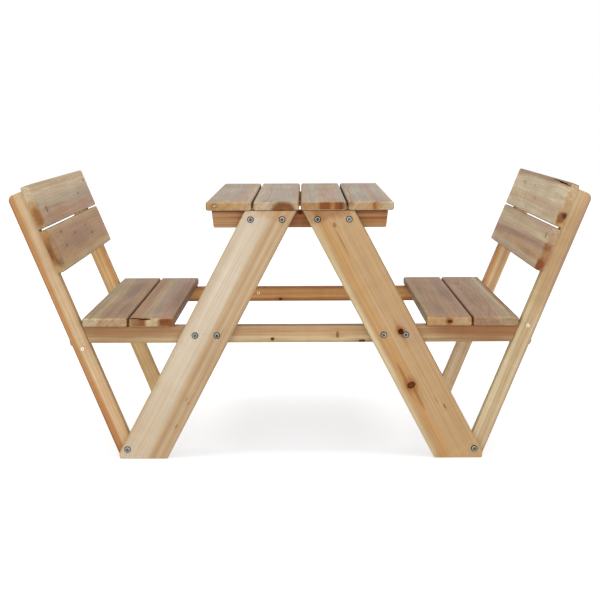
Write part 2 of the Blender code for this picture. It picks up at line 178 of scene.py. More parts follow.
class BoardSettings(bpy.types.PropertyGroup):
    """How the boards' edges are eased and worn."""

    rounding: length_property("Rounding", "Radius of the eased edges", 0.0045)
    corner_steps: count_property("Corner steps", "Faces round a quarter of an edge", 4, 1, 12)
    length_steps: count_property("Length steps", "Faces along a board", 90, 1, 400)
    width_steps: count_property("Width steps", "Faces across a board's flat face", 6, 1, 60)
    side_steps: count_property("Side steps", "Faces across a board's narrow side", 2, 1, 20)
    back_rounding: length_property("Backrest rounding", "The same, on the backrest boards", 0.0036)
    back_spread: length_property("Backrest spread", "How far those boards' facing edges have swelled", 0.0006)
    wear: length_property("Wear", "Most that use has taken off an edge", 0.0012)


class FastenerSettings(bpy.types.PropertyGroup):
    """Sizes of the bolts, the wood screws and the ring screws."""

    seat_gap: length_property("Seat gap", "Gap between a head and the wood", 0.0003)
    head_radius: length_property("Head radius", "Radius of a bolt's head", 0.0064)
    head_height: length_property("Head height", "Height of a bolt's head", 0.0032)
    head_rim: length_property("Head rim", "Height of the upright rim of a bolt's head", 0.0009)
    rim_step: length_property("Rim step", "How far the rim stands out past the slope", 0.0002)
    head_flat: length_property("Head flat", "Radius of the flat ring round the key socket", 0.0036)
    shank_radius: length_property("Shank radius", "Radius of a bolt's shank", 0.0030)
    key_radius: length_property("Key radius", "Radius of the hexagonal socket, over its corners", 0.0030)
    key_depth: length_property("Key depth", "Depth of the hexagonal socket", 0.0024)
    sleeve_radius: length_property("Sleeve radius", "Radius of the sleeve nut", 0.0042)
    sleeve_length: length_property("Sleeve length", "Length of the sleeve nut", 0.0150)
    flange_radius: length_property("Flange radius", "Radius of the sleeve nut's flange", 0.0060)
    flange_height: length_property("Flange height", "Height of the sleeve nut's flange", 0.0016)
    screw_head_radius: length_property("Screw head radius", "Radius of a wood screw's flat head", 0.0040)
    screw_length: length_property("Screw length", "Length of a wood screw through a batten", 0.0460)
    ring_radius: length_property("Ring radius", "Outer radius of a ring screw's head", 0.0040)
    ring_height: length_property("Ring height", "Height of a ring screw's head", 0.0013)
    slot_width: length_property("Slot width", "Width of the slot in a ring screw's head", 0.0006)
    zinc: colour_property("Zinc", "Zinc plating", srgb(158, 158, 154))
    # The dull tones are painted shade and reflection, for recesses and rims
    zinc_shaded: colour_property("Dull zinc", "Zinc plating in a recess or at a rim", srgb(30, 28, 24))
    nickel: colour_property("Nickel", "Warm plating of the ring screws", srgb(226, 208, 182))
    nickel_shaded: colour_property("Dull nickel", "The same in a ring screw's recess", srgb(66, 50, 34))
    turn_steps: count_property("Turn steps", "Faces round a fastener", 40, 8, 96)


class StudioSettings(bpy.types.PropertyGroup):
    """The camera, the lamps and the floor."""

    camera_place: FloatVectorProperty(name="Camera place", description="Where the camera stands",
                                      default=(0.00903, -3.7432, 0.69248), subtype="TRANSLATION",
                                      unit="LENGTH", size=3)
    camera_yaw: angle_property("Yaw", "Camera's turn to the right", -0.00282)
    camera_pitch: angle_property("Pitch", "Camera's tilt upwards", -0.11200)
    camera_roll: angle_property("Roll", "Camera's turn about its own axis", -0.00442)
    lens: amount_property("Lens", "Focal length in millimetres for a 36 mm frame", 102.86, 1.0)
    key_strength: amount_property("Key strength", "Power of the wide soft box in front, in watts", 450.0)
    top_strength: amount_property("Top strength", "Power of the soft box overhead, in watts", 58.0)
    sky_strength: amount_property("Room light", "Strength of the even light of the room", 0.54)
    floor_reach: length_property("Floor reach", "How far the floor goes each way", 12.0)
    floor_tone: share_property("Floor tone", "Share of light that the floor gives back", 0.8)
    floor_lift: amount_property("Floor lift", "Light under the table that only a view sees", 0.545)
    backdrop_lift: amount_property("Backdrop lift", "The same, away from the table", 0.75)


class Look:
    """How one piece of wood looks: tones across its width, on its faces and on its ends, and its marks.

    Tones stand in a row, and before each later one is the percentage of the width where it lies. Patches,
    marks and holes are ellipsoids in the grain frame, in millimetres: three numbers for the middle, then
    three for the radii. A patch is a soft spot of another tone, and its row goes on with how strong it is
    and the tone. A mark is a knot, its row goes on with how strong it is, and one stronger than 1 is black
    inside. A hole is cut out.
    """

    patches = marks = holes = ()
    pith = (0.06, -0.05)
    drift = (0.004, 0.008)
    rings = wave = depth = 1.0
    tint = end_tint = (1.0, 1.0, 1.0)
    # How strongly the rounded arrises next to the ends are lightened: painted highlight
    edge = 0.5

    def __init__(self, slot, seed, bands, ends, **rest):
        self.slot = slot
        self.seed = seed
        self.bands = tones_across(bands)
        self.ends = tones_across(ends)
        for name, value in rest.items():
            setattr(self, name, value)


def tones_across(text):
    """Pairs of a share of the width and a tone, from a row of tones and percentages."""
    words = text.split()
    return [(int(percent) / 100, tone) for percent, tone in zip(["0", *words[1::2]], words[::2])]


def ellipsoid(row):
    """The middle and the radii in metres, from a row that starts with them in millimetres."""
    metres = [value / 1000 for value in row[:6]]
    return Vector(metres[:3]), Vector(metres[3:])


LOOKS = {
    # The tabletop boards' grey-blue tints are partly painted sheen, the grey of the room's light glancing off
    # their tops, and partly their own tone
    "tabletop_board_1": Look(
        "tabletop", 1, "tan 20 ash 50 ash 72 rose 100 straw", "honey 50 honey 100 tan",
        patches=((-15, -300, 9, 8, 250, 10, 0.5, "tan"), (-28.1, -400, 0, 7, 10, 6, 0.6, "russet"),
                 (-28.1, -400, 1, 3, 10, 3, 0.9, "cream")),
        marks=((-30, -400, 3, 1.2, 10, 1.2, 0.8),),
        tint=(0.81, 0.82, 0.86), end_tint=(0.91, 0.97, 0.98)),
    "tabletop_board_2": Look(
        "tabletop", 2, "straw 30 ash 60 ash 85 ash 100 tan", "tan 35 straw 70 tan 100 straw",
        patches=((13.7, -400, -12, 22.5, 12, 20, 1, "russet"),
                 (13.7, -400, -12, 15, 12, 11, 0.7, "honey"), (12, -400, -12, 9, 12, 7, 0.5, "umber")),
        marks=((13.7, -400, -12, 21.5, 12, 20, 0.48),),
        tint=(0.82, 0.8, 0.84), end_tint=(0.96, 1.0, 1.1)),
    "tabletop_board_3": Look(
        "tabletop", 3, "tan 30 ash 50 tan 75 rose 100 ash",
        "tan 36 tan 44 russet 62 russet 70 honey 78 russet 92 russet 100 tan",
        patches=((25, 50, 9, 12, 150, 10, 0.6, "tan"), (-1, -400, -3, 6, 12, 6, 0.12, "umber"),
                 (34, -400, -1, 3, 12, 10, 0.5, "umber")),
        tint=(0.82, 0.87, 0.95), end_tint=(0.77, 0.68, 0.53)),
    "tabletop_board_4": Look(
        "tabletop", 4, "tan 20 ash 45 ash 60 rose 75 ash 100 straw",
        "tan 52 honey 57 russet 68 honey 75 tan 100 straw",
        patches=((-25, 300, 9, 14, 100, 10, 0.8, "tan"), (8, 0, 9, 8, 200, 10, 0.6, "tan"),
                 (-38, -400, 4, 6, 12, 6, 0.5, "russet")),
        tint=(0.81, 0.82, 0.86), end_tint=(0.93, 1.04, 1.17)),
    "seat_board_left_outer": Look(
        "seat", 5, "ash 30 straw 50 rose 70 rose 85 tan 100 rose", "straw 25 straw 40 tan 100 tan",
        patches=((10, 100, 9, 12, 200, 10, 0.7, "dusk"), (-20, -200, 9, 6, 200, 10, 0.5, "cream"),
                 # The straw strip along the front top arris is a painted highlight
                 (0, -400, 8.5, 50, 10, 4, 0.6, "straw"), (25, -250, 9, 10, 120, 10, 0.5, "dusk")),
        depth=1.5, tint=(0.72, 0.67, 0.54), end_tint=(0.87, 0.9, 0.92)),
    "seat_board_left_inner": Look(
        "seat", 6, "honey 25 tan 42 straw 52 ash 70 rose 100 tan",
        "tan 15 dusk 34 russet 41 cream 60 straw 70 russet 100 russet",
        patches=((30, 50, 9, 12, 300, 10, 0.7, "dusk"), (-30, 150, 9, 8, 250, 10, 0.5, "russet"),
                 (44, 0, 2, 5, 450, 20, 0.6, "russet"), (25, -400, 2, 10, 12, 6, 0.4, "umber")),
        marks=((-32, -400, 7.8, 11, 8, 0.9, 1.4), (-13, -400, 6.6, 11, 8, 1.3, 1.6)),
        holes=((-32, -400.5, 7.8, 10, 4, 0.8), (-13, -400.5, 6.6, 10, 4, 1.1)),
        depth=1.5, tint=(0.78, 0.71, 0.64), end_tint=(0.85, 0.81, 0.67)),
    "seat_board_right_inner": Look(
        "seat", 7, "straw 20 tan 55 tan 85 rose 100 tan", "honey 40 tan 50 russet 60 tan 100 tan",
        patches=((25, 100, 9, 12, 250, 10, 0.6, "dusk"), (-10, -250, 9, 10, 100, 10, 0.4, "dusk")),
        marks=((1, -400, 0, 4.5, 20, 2.5, 1),),
        pith=(-0.15, 0.0), rings=0.7, depth=1.5, tint=(0.72, 0.65, 0.57), end_tint=(0.9, 0.9, 0.85)),
    "seat_board_right_outer": Look(
        "seat", 8, "rose 56 rose 70 ash 80 cream 86 ash 100 honey", "rose 50 rose 100 straw",
        patches=((-15, 0, 9, 15, 300, 10, 0.5, "dusk"), (44, 50, 9, 12, 480, 30, 0.8, "russet"),
                 (20, -385, 9, 30, 25, 10, 0.5, "ash")),
        pith=(-0.03, -0.04), drift=(0.01, 0.03), depth=1.5, tint=(0.78, 0.71, 0.58),
        end_tint=(0.69, 0.68, 0.6)),
    "back_board_left_upper": Look(
        "back", 9, "straw 25 cream 60 ash 78 rose 92 rose 100 ash", "cream 50 straw 90 tan 100 straw",
        patches=((15, -396, 0, 30, 22, 13, 0.9, "honey"), (20, -399, 2, 21, 16, 9, 0.7, "russet"),
                 (28, -130, 9, 14, 120, 10, 0.6, "honey"), (15, -200, 9, 10, 160, 10, 0.5, "rose"),
                 # The ash spot at the near end's arris is a painted highlight
                 (0, -385, 10, 14, 16, 6, 0.8, "ash")),
        marks=((12.7, -308, 9, 7, 6, 20, 0.8), (4.9, 193.6, 9, 2.2, 9, 20, 0.6),
               (-19.8, 360.6, 9, 3, 20, 20, 0.4)),
        tint=(0.92, 0.83, 0.7), end_tint=(0.81, 0.8, 0.73), edge=0.05),
    "back_board_left_lower": Look(
        "back", 10, "straw 15 rose 55 rose 75 tan 90 straw 100 straw",
        "tan 15 honey 45 russet 62 russet 80 honey 100 straw",
        patches=((2, -390, 6, 36, 26, 9, 0.8, "dusk"), (4, -396, 7, 34, 16, 5, 0.7, "tan"),
                 (24, -390, 4, 10, 18, 8, 0.5, "umber"), (0, -100, 9, 20, 300, 8, 0.5, "dusk")),
        marks=((-28.1, -257.2, 9, 3, 10, 20, 0.6), (-12.6, -89.2, 9, 2.8, 9, 20, 0.6),
               (-16.8, 102.8, 9, 2.5, 10, 20, 0.5), (4.9, 149, 9, 3, 9, 20, 0.7),
               (1.9, -256.2, 9, 2.5, 9, 20, 0.5)),
        tint=(0.91, 0.8, 0.56), end_tint=(0.76, 0.72, 0.61), edge=0.05),
    "back_board_right_upper": Look(
        "back", 11, "dusk 10 tan 18 straw 50 straw 65 tan 85 straw 100 straw",
        "straw 30 tan 70 tan 100 honey",
        patches=((28, 400, 1, 14, 14, 9, 1, "russet"), (20, 400, -4, 7, 12, 6, 1, "umber"),
                 (-40, 300, -2, 8, 120, 9, 0.5, "dusk"), (-41, 50, 6, 8, 450, 10, 0.6, "dusk")),
        marks=((-41.2, 235, 8, 1.2, 60, 4, 0.9), (-39.6, 310, 8, 1.6, 55, 4, 1),
               (-37.6, 372, 8.5, 1.2, 35, 3, 0.8), (28, 240, 9, 10, 35, 20, 0.04),
               (-12, 280, 9, 10, 30, 20, 0.04), (-16.2, -223.1, 9, 4, 12, 20, 0.45),
               (-17, -53, 9, 2.4, 8, 20, 0.4), (10.6, 28.4, 9, 2.4, 9, 20, 0.5)),
        holes=((-39.6, 305, 8.5, 0.8, 60, 2),),
        pith=(0.012, -0.03), drift=(0.01, 0.05), wave=1.8, depth=1.2, tint=(1.1, 1.16, 1.18),
        end_tint=(1.01, 1.05, 1.09), edge=0.05),
    "back_board_right_lower": Look(
        "back", 12, "rose 25 straw 50 rose 66 tan 75 honey 85 straw 100 rose",
        "cream 25 straw 50 tan 62 honey 80 tan 100 honey",
        patches=((34, 400, 4, 15, 16, 11, 1, "russet"), (12, -350, 9, 9, 200, 10, 0.65, "russet"),
                 (5, -140, 9, 8, 200, 10, 0.55, "russet"), (1, 80, 9, 7, 200, 10, 0.5, "russet"),
                 (-3.5, 320, 9, 8, 160, 10, 0.45, "russet"), (-3, 400, 4, 10, 20, 10, 0.6, "russet"),
                 (24, 220, 9, 6, 160, 10, 0.45, "russet"), (-15, 300, 9, 6, 120, 10, 0.5, "cream")),
        marks=((-24.5, 363.8, 9, 6.5, 4, 20, 0.8),),
        tint=(0.98, 0.98, 0.88), end_tint=(0.7, 0.6, 0.56), edge=0.05),
    "leg_front_left": Look(
        "leg_pale", 13, "straw 6 cream 50 cream 60 straw 70 tan 78 straw 88 tan 94 straw 100 tan",
        "straw 100 tan",
        # The three honey spots along the top are painted shade under the table top
        patches=((0, 274, 9, 60, 14, 20, 0.5, "honey"), (-30, 261, 9, 30, 12, 20, 0.4, "honey"),
                 (30, 290, 9, 30, 12, 20, 0.4, "honey"), (-20, -200, 9, 20, 100, 20, 0.4, "straw")),
        marks=((23.8, -131.7, 9, 1.2, 4, 20, 0.4), (31, -137, 9, 1.2, 3, 20, 0.35),
               (31, -189.1, 9, 1.4, 4, 20, 0.4)),
        pith=(-0.09, -0.05), drift=(0.0, 0.004), wave=0.25, depth=0.35, tint=(0.92, 0.89, 0.88)),
    "leg_front_right": Look(
        "leg_tan", 14, "straw 6 straw 14 tan 24 honey 42 tan 100 tan", "honey 100 honey",
        # The three russet spots along the top are painted shade under the table top
        patches=((0, 274, 9, 60, 14, 20, 0.6, "russet"), (30, 261, 9, 30, 12, 20, 0.5, "russet"),
                 (-30, 290, 9, 30, 12, 20, 0.5, "russet"), (-8, 200, 9, 5, 70, 20, 0.55, "honey"),
                 (-6, 210, 9, 2, 40, 20, 0.6, "russet"), (-20, -60, 9, 11, 70, 20, 0.7, "honey"),
                 (-22, -80, 9, 3.5, 32, 20, 0.6, "russet"), (-17, -130, 9, 4, 30, 20, 0.6, "russet"),
                 (30, -20, 9, 12, 60, 20, 0.5, "rose"), (-18, -104.7, 0, 15, 19, 50, 0.6, "russet"),
                 (13.2, -0.5, 0, 11, 13, 50, 0.7, "russet"), (-30, -270, 9, 14, 30, 20, 0.6, "honey")),
        marks=((-18, -104.7, 0, 8, 6, 50, 0.9), (13.2, -0.5, 0, 5, 5.2, 50, 1.4),
               (-3.5, 245.6, 0, 3.2, 4.6, 50, 0.45), (20.6, -173.3, 9, 1.4, 5, 20, 0.6)),
        holes=((13.2, -0.5, 9.5, 4.4, 4.6, 3.5),),
        pith=(-0.05, -0.06), drift=(0.0, 0.004), wave=0.5, depth=0.5, tint=(0.99, 0.99, 0.91)),
    # The rear legs' tints above 1 are painted light for the back, which the lamps hardly reach
    "leg_rear_left": Look(
        "leg_pale", 15, "straw 50 cream 100 tan", "straw 100 tan",
        wave=0.4, depth=0.7, tint=(1.1, 1.11, 1.03)),
    "leg_rear_right": Look(
        "leg_tan", 16, "tan 50 straw 100 honey", "honey 100 tan",
        wave=0.5, depth=0.8, tint=(1.11, 1.12, 1.03)),
    "back_post_front_left": Look(
        "post", 17, "russet 7 honey 18 tan 25 honey 34 straw 46 cream 85 cream 100 straw",
        "honey 100 straw",
        patches=((0, -200, 14, 40, 100, 40, 0.35, "honey"), (-10, -220, 14, 8, 100, 40, 0.35, "russet")),
        wave=0.5, tint=(0.95, 0.8, 0.63)),
    "back_post_front_right": Look(
        "post", 18, "straw 35 straw 60 tan 80 straw 100 rose", "tan 100 straw",
        patches=((6, 160, 14, 40, 140, 20, 0.95, "tan"), (14, 200, 14, 10, 160, 30, 0.8, "rose"),
                 (0, -140, 14, 30, 220, 30, 0.3, "cream")),
        wave=0.5, tint=(0.96, 0.96, 0.88)),
    # The rear posts' tints above 1 and their pale spots low down are painted light for the back, where the
    # seats shade them
    "back_post_rear_left": Look(
        "post", 19, "tan 30 straw 45 honey 60 straw 80 honey 100 tan", "honey 100 tan",
        patches=((0, -170, 14, 50, 160, 50, 0.65, "straw"),),
        wave=0.7, tint=(1.28, 1.18, 0.95)),
    "back_post_rear_right": Look(
        "post", 20, "tan 20 honey 40 straw 70 tan 100 straw", "honey 100 tan",
        patches=((0, -170, 14, 50, 160, 50, 1, "straw"), (0, -190, 14, 50, 120, 50, 0.35, "cream")),
        wave=0.7, tint=(1.19, 1.11, 1.03)),
    "tabletop_cleat_front": Look(
        # The russet at the top of the bands and the russet strip along the top are painted shade under the
        # table top, and the russet spot in the middle is painted shade between the legs, all over the cleat's
        # own red-brown
        "cleat", 21, "russet 30 tan 45 russet 60 honey 80 tan 100 tan", "tan 100 honey",
        patches=((0, 0, 14, 30, 50, 20, 0.8, "russet"), (-16, 0, 14, 8, 300, 20, 0.8, "russet"),
                 (4, -170, 14, 20, 60, 30, 0.6, "tan"), (4, 160, 14, 20, 50, 30, 0.25, "russet")),
        marks=((-12, 0, 0, 3, 4, 50, 1),),
        pith=(0.05, -0.01), rings=0.6, wave=0.5, depth=1.6, tint=(0.9, 0.82, 0.7)),
    "tabletop_cleat_rear": Look(
        "cleat", 22, "tan 50 russet 100 tan", "tan 100 honey",
        pith=(0.05, -0.01), rings=0.7, tint=(0.9, 0.82, 0.7)),
    "seat_rail_front": Look(
        "rail", 23, "rose 20 tan 45 tan 70 straw 100 tan", "tan 100 honey",
        # The russet spots at both ends are painted shade under the seats
        patches=((-12, -370, 14, 30, 130, 30, 0.55, "russet"),
                 (-12, 370, 14, 34, 150, 30, 0.75, "russet")),
        marks=((10, -55.2, 14, 3, 3.4, 20, 1), (1.5, 73.4, 14, 6, 2.8, 20, 0.6),
               (14.7, 121.9, 14, 3, 6, 20, 1)),
        pith=(0.05, -0.03), rings=0.7, wave=0.6, tint=(0.92, 0.91, 0.83)),
    # The rear rail's tint above 1 is painted light for the back
    "seat_rail_rear": Look(
        "rail", 24, "russet 30 honey 70 honey 100 russet", "honey 100 honey",
        marks=((12.2, -49.4, 14, 3, 4, 20, 0.9),),
        pith=(0.05, -0.03), rings=0.8, wave=0.6, tint=(1.39, 1.35, 1.32)),
}


class Nodes:
    """Short calls that add nodes to a tree and join them."""

    def __init__(self, tree):
        self.tree = tree

    def add(self, kind, inputs=None, **settings):
        """A node with its settings; inputs are values or sockets, by name or number."""
        node = self.tree.nodes.new(kind)
        for name, value in settings.items():
            setattr(node, name, value)
        return self.fill(node, inputs or {})

    def fill(self, node, inputs):
        """Links a node's inputs, or sets their values."""
        for key, value in inputs.items():
            if isinstance(value, bpy.types.NodeSocket):
                self.tree.links.new(value, node.inputs[key])
            else:
                node.inputs[key].default_value = value
        return node

    def split(self, vector):
        """The three parts of a vector."""
        return self.add("ShaderNodeSeparateXYZ", {0: vector}).outputs

    def join(self, x, y, z):
        """A vector of three parts."""
        return self.add("ShaderNodeCombineXYZ", {0: x, 1: y, 2: z}).outputs[0]

    def maths(self, operation, a, b=0.0, c=0.0, clamp=False):
        """The result of a Math node."""
        node = self.add("ShaderNodeMath", {0: a, 1: b, 2: c}, operation=operation, use_clamp=clamp)
        return node.outputs[0]

    # Short names for sums; fit is a times b plus c
    plus = partialmethod(maths, "ADD")
    minus = partialmethod(maths, "SUBTRACT")
    times = partialmethod(maths, "MULTIPLY")
    over = partialmethod(maths, "DIVIDE")
    fit = partialmethod(maths, "MULTIPLY_ADD")
    most = partialmethod(maths, "MAXIMUM")
    least = partialmethod(maths, "MINIMUM")

    def vector(self, operation, a, b=(0.0, 0.0, 0.0), scale=None):
        """The result of a Vector Math node."""
        node = self.add("ShaderNodeVectorMath", {0: a, 1: b}, operation=operation)
        if scale is not None:
            self.fill(node, {"Scale": scale})
        return node.outputs["Value" if operation in ("LENGTH", "DOT_PRODUCT") else "Vector"]

    def ramp(self, value, low, high):
        """0 below the low value, 1 above the high one; low may be the larger one, which turns it round."""
        node = self.add("ShaderNodeMapRange", {"Value": value, "From Min": low, "From Max": high},
                        interpolation_type="SMOOTHSTEP")
        return node.outputs["Result"]

    def blend(self, factor, a, b, blend_type="MIX"):
        """The result of a colour Mix node."""
        node = self.add("ShaderNodeMix", {0: factor, 6: a, 7: b}, data_type="RGBA", blend_type=blend_type)
        return node.outputs[2]

    def stain(self, a, b, factor=1.0):
        """A colour multiplied by another."""
        return self.blend(factor, a, b, "MULTIPLY")

    def noise(self, vector, scale, detail=2.0, roughness=0.5, seed=0.0):
        """A noise from 0 to 1 on a vector; the seed is its fourth coordinate."""
        node = self.add("ShaderNodeTexNoise", {"Vector": vector, "W": seed, "Scale": scale,
                                               "Detail": detail, "Roughness": roughness},
                        noise_dimensions="4D")
        return node.outputs[0]


def new_group(name, kind, inputs, outputs):
    """A node group with its named inputs and outputs by kind, and its inputs as sockets to link from."""
    tree = bpy.data.node_groups.new(name, kind)
    for direction, sockets in (("INPUT", inputs), ("OUTPUT", outputs)):
        for socket_kind, names in sockets.items():
            for socket in names:
                tree.interface.new_socket(socket, in_out=direction, socket_type="NodeSocket" + socket_kind)
    n = Nodes(tree)
    return n, n.add("NodeGroupInput").outputs


def opaque(colour):
    """A colour with its alpha."""
    return (*colour, 1.0)


def knot_group():
    """A knot or a split: it parts the grain beside it and darkens the wood. Marks are chained."""
    n, given = new_group("fir_knot", "ShaderNodeTree", {"Vector": ("Grain", "Middle", "Radii"),
                                                        "Float": ("Strength", *NO_KNOT)}, {"Float": NO_KNOT})
    share = n.vector("DIVIDE", n.vector("SUBTRACT", given["Grain"], given["Middle"]), given["Radii"])
    distance = n.vector("LENGTH", share)
    wobble = n.noise(given["Grain"], 260.0, 3.0)
    ragged = n.plus(distance, n.fit(wobble, 0.6, -0.3))
    parts = n.split(share)
    width = n.split(given["Radii"])[0]

    def bell(across, along, through):
        """1 in the middle of the knot, and less the further away, by a reach in radii each way."""
        total = 0.0
        for part, reach in zip(parts, (across, along, through)):
            near = n.over(part, reach)
            total = n.fit(near, near, total)
        return n.maths("EXPONENT", n.times(total, -1.0))

    side = n.maths("TANH", n.times(parts[0], 1.4))
    pull = n.times(n.times(side, bell(2.2, 4.5, 1.7)), width)
    strength = given["Strength"]
    body = n.times(n.ramp(ragged, 1.12, 0.8), strength)
    rim = n.times(n.ramp(ragged, 1.25, 1.0), n.ramp(ragged, 0.55, 0.92))
    halo = n.most(bell(1.7, 2.2, 1.5), n.times(bell(1.0, 5.5, 1.5), 0.8))
    rim = n.times(rim, n.least(strength, 1.0))
    rim = n.most(rim, n.minus(body, 1.0))
    n.add("NodeGroupOutput", {
        "Pull": n.plus(given["Pull"], pull), "Body": n.most(given["Body"], n.least(body, 1.0)),
        "Rim": n.most(given["Rim"], rim), "Halo": n.most(given["Halo"], n.times(halo, strength))})
    return n.tree


def patch_group():
    """A soft-edged spot that turns the faces' and the ends' tones to another. Patches are chained."""
    n, given = new_group("fir_patch", "ShaderNodeTree", {
        "Vector": ("Grain", "Middle", "Radii"), "Float": ("Strength",), "Color": ("Tone", "Face", "End")},
        {"Color": ("Face", "End")})
    share = n.vector("DIVIDE", n.vector("SUBTRACT", given["Grain"], given["Middle"]), given["Radii"])
    wobble = n.noise(n.vector("MULTIPLY", given["Grain"], (150.0, 14.0, 150.0)), 1.0, 3.0)
    distance = n.plus(n.vector("LENGTH", share), n.fit(wobble, 0.9, -0.45))
    share = n.times(n.ramp(distance, 1.25, 0.45), given["Strength"])
    n.add("NodeGroupOutput", {name: n.blend(share, given[name], given["Tone"]) for name in ("Face", "End")})
    return n.tree


def timber_group():
    """Fir: year rings round a pith line, fibres, flecks, knots and end grain, in the grain frame."""
    n, given = new_group("fir_timber", "ShaderNodeTree", {
        "Vector": ("Grain", "Along", "Across"),
        "Color": ("Side", "Face", "End", "Tint", "End Tint", "Late", "Knot", "Warm", "Bark"),
        "Float": ("Wave", "Edge Highlight", "Pith Across", "Pith Through", "Drift Across", "Drift Through",
                  "Ring Width", "Ring Contrast", "Fibre Contrast", "Roughness", "Seed", *NO_KNOT)},
        {"Color": ("Color",), "Float": ("Roughness", "Height", "Gloss")})
    grain = given["Grain"]
    seed = given["Seed"]
    place = n.split(grain)

    def streaks(across, along, detail=2.0):
        """Noise that runs along the grain, with this many waves to a metre each way."""
        return n.noise(n.vector("MULTIPLY", grain, (across, along, across)), 1.0, detail, 0.55, seed)

    # The pith line runs beside the piece, and drifts as the trunk did
    bend = n.times(n.fit(streaks(16.0, 3.2), 0.016, -0.008), given["Wave"])
    squares = 0.0
    for axis, pith, drift in ((0, "Pith Across", "Drift Across"), (2, "Pith Through", "Drift Through")):
        off = n.minus(place[axis], given[pith])
        off = n.minus(off, n.times(place[1], given[drift]))
        if axis == 0:
            off = n.minus(off, given["Pull"])
        squares = n.fit(off, off, squares)
    year = n.over(n.plus(n.maths("SQRT", squares), bend), given["Ring Width"])
    uneven = n.add("ShaderNodeTexNoise", {"W": n.fit(year, 0.37, seed), "Scale": 1.0,
                                          "Detail": 1.0}, noise_dimensions="1D").outputs[0]
    year = n.fit(uneven, 3.0, year)
    part = n.maths("FRACT", year)
    late = n.times(n.maths("POWER", part, 2.4), n.ramp(part, 1.0, 0.92))
    number = n.plus(n.maths("FLOOR", year), seed)
    dry = n.add("ShaderNodeTexWhiteNoise", {"W": number}, noise_dimensions="1D").outputs["Value"]
    late = n.times(late, n.fit(dry, 0.75, 0.25))
    late = n.times(late, n.fit(streaks(30.0, 1.5), 1.4, 0.3), clamp=True)

    # Fibres are long thin streaks; broader streaks and patches lie among them
    fine = streaks(1500.0, 16.0)
    thin = streaks(420.0, 5.0)
    broad = streaks(120.0, 2.2, 3.0)
    patch = streaks(22.0, 5.0, 3.0)
    chatter = streaks(5.0, 42.0)
    total = 0.0
    for wave, weight in ((fine, 0.9), (thin, 1.5), (broad, 1.7), (patch, 1.4), (chatter, 0.6)):
        total = n.fit(n.minus(wave, 0.5), weight, total)
    swing = n.times(total, given["Fibre Contrast"])
    tone = n.add("ShaderNodeCombineColor", {0: n.plus(swing, 1.0),
                                            1: n.fit(swing, 1.3, 1.0),
                                            2: n.fit(swing, 1.7, 1.0)}).outputs[0]

    # Short dark flecks lie here and there
    cells = n.add("ShaderNodeTexVoronoi", {"Vector": n.vector("MULTIPLY", grain, (75.0, 11.0, 75.0)),
                                           "W": seed, "Scale": 1.0, "Randomness": 0.9},
                  voronoi_dimensions="4D").outputs
    chance = n.add("ShaderNodeSeparateColor", {0: cells["Color"]}).outputs[0]
    fleck = n.times(n.ramp(cells["Distance"], 0.17, 0.05), n.ramp(chance, 0.80, 0.95))

    # A face that looks along the grain is end grain
    normal = n.add("ShaderNodeNewGeometry").outputs["Normal"]
    facing = n.maths("ABSOLUTE", n.vector("DOT_PRODUCT", normal, given["Along"]))
    end = n.ramp(facing, 0.55, 0.95)
    # The rounded arrises between an end and the faces, where a painted highlight goes
    eased = n.times(n.ramp(facing, 0.2, 0.55), n.ramp(facing, 0.99, 0.85))
    sawn = n.noise(n.vector("MULTIPLY", grain, (380.0, 0.0, 45.0)), 1.0, 2.0, 0.6, seed)
    sideways = n.maths("ABSOLUTE", n.vector("DOT_PRODUCT", normal, given["Across"]))

    face = n.stain(given["Face"], given["Tint"])
    colour = n.blend(end, face, n.stain(given["End"], given["End Tint"]))
    # Narrow sides and their rounded arrises are darkened by the side tone: painted shade
    colour = n.blend(n.ramp(sideways, 0.4, 0.95), colour, n.stain(colour, given["Side"]))
    colour = n.stain(colour, tone)
    dark = n.stain(colour, given["Late"])
    share = n.times(late, given["Ring Contrast"])
    share = n.times(share, n.fit(end, -0.2, 1.0), clamp=True)
    share = n.most(share, n.times(fleck, 0.8))
    share = n.fit(n.times(end, n.ramp(sawn, 0.5, 0.75)), 0.22, share, clamp=True)
    colour = n.blend(share, colour, dark)
    colour = n.stain(colour, given["Warm"], n.times(given["Halo"], 0.5))
    # Those arrises are lightened by the look's share: painted highlight
    colour = n.blend(n.times(eased, given["Edge Highlight"]), colour, n.stain(colour, (1.35, 1.4, 1.5, 1.0)))
    inside = n.blend(n.fit(fine, 1.2, -0.3, clamp=True), given["Knot"],
                     n.stain(given["Knot"], (1.6, 1.5, 1.4, 1.0)))
    colour = n.blend(n.times(given["Body"], 0.9), colour, inside)
    ringed = n.stain(colour, (0.42, 0.30, 0.20, 1.0))
    colour = n.blend(given["Rim"], colour, ringed)
    black = n.ramp(n.times(given["Body"], given["Rim"]), 0.9, 1.0)
    colour = n.blend(black, colour, given["Bark"])

    rough = n.fit(n.minus(broad, 0.5), 0.25, given["Roughness"])
    rough = n.fit(end, 0.15, rough, clamp=True)
    height = n.fit(fine, 0.35, n.times(late, 0.5))
    height = n.minus(height, n.times(given["Rim"], 0.8))
    height = n.minus(height, n.times(fleck, 0.6))
    n.add("NodeGroupOutput", {"Color": colour, "Roughness": rough, "Height": height,
                              "Gloss": n.ramp(n.most(given["Body"], given["Rim"]), 1.0, 0.0)})
    return n.tree


def new_material(name):
    """A material, its nodes and its shader."""
    material = bpy.data.materials.new(name)
    material.use_nodes = True
    return material, Nodes(material.node_tree), material.node_tree.nodes["Principled BSDF"]


def shared_group(name, builder):
    """A node group that is built on its first use."""
    return bpy.data.node_groups.get(name) or builder()


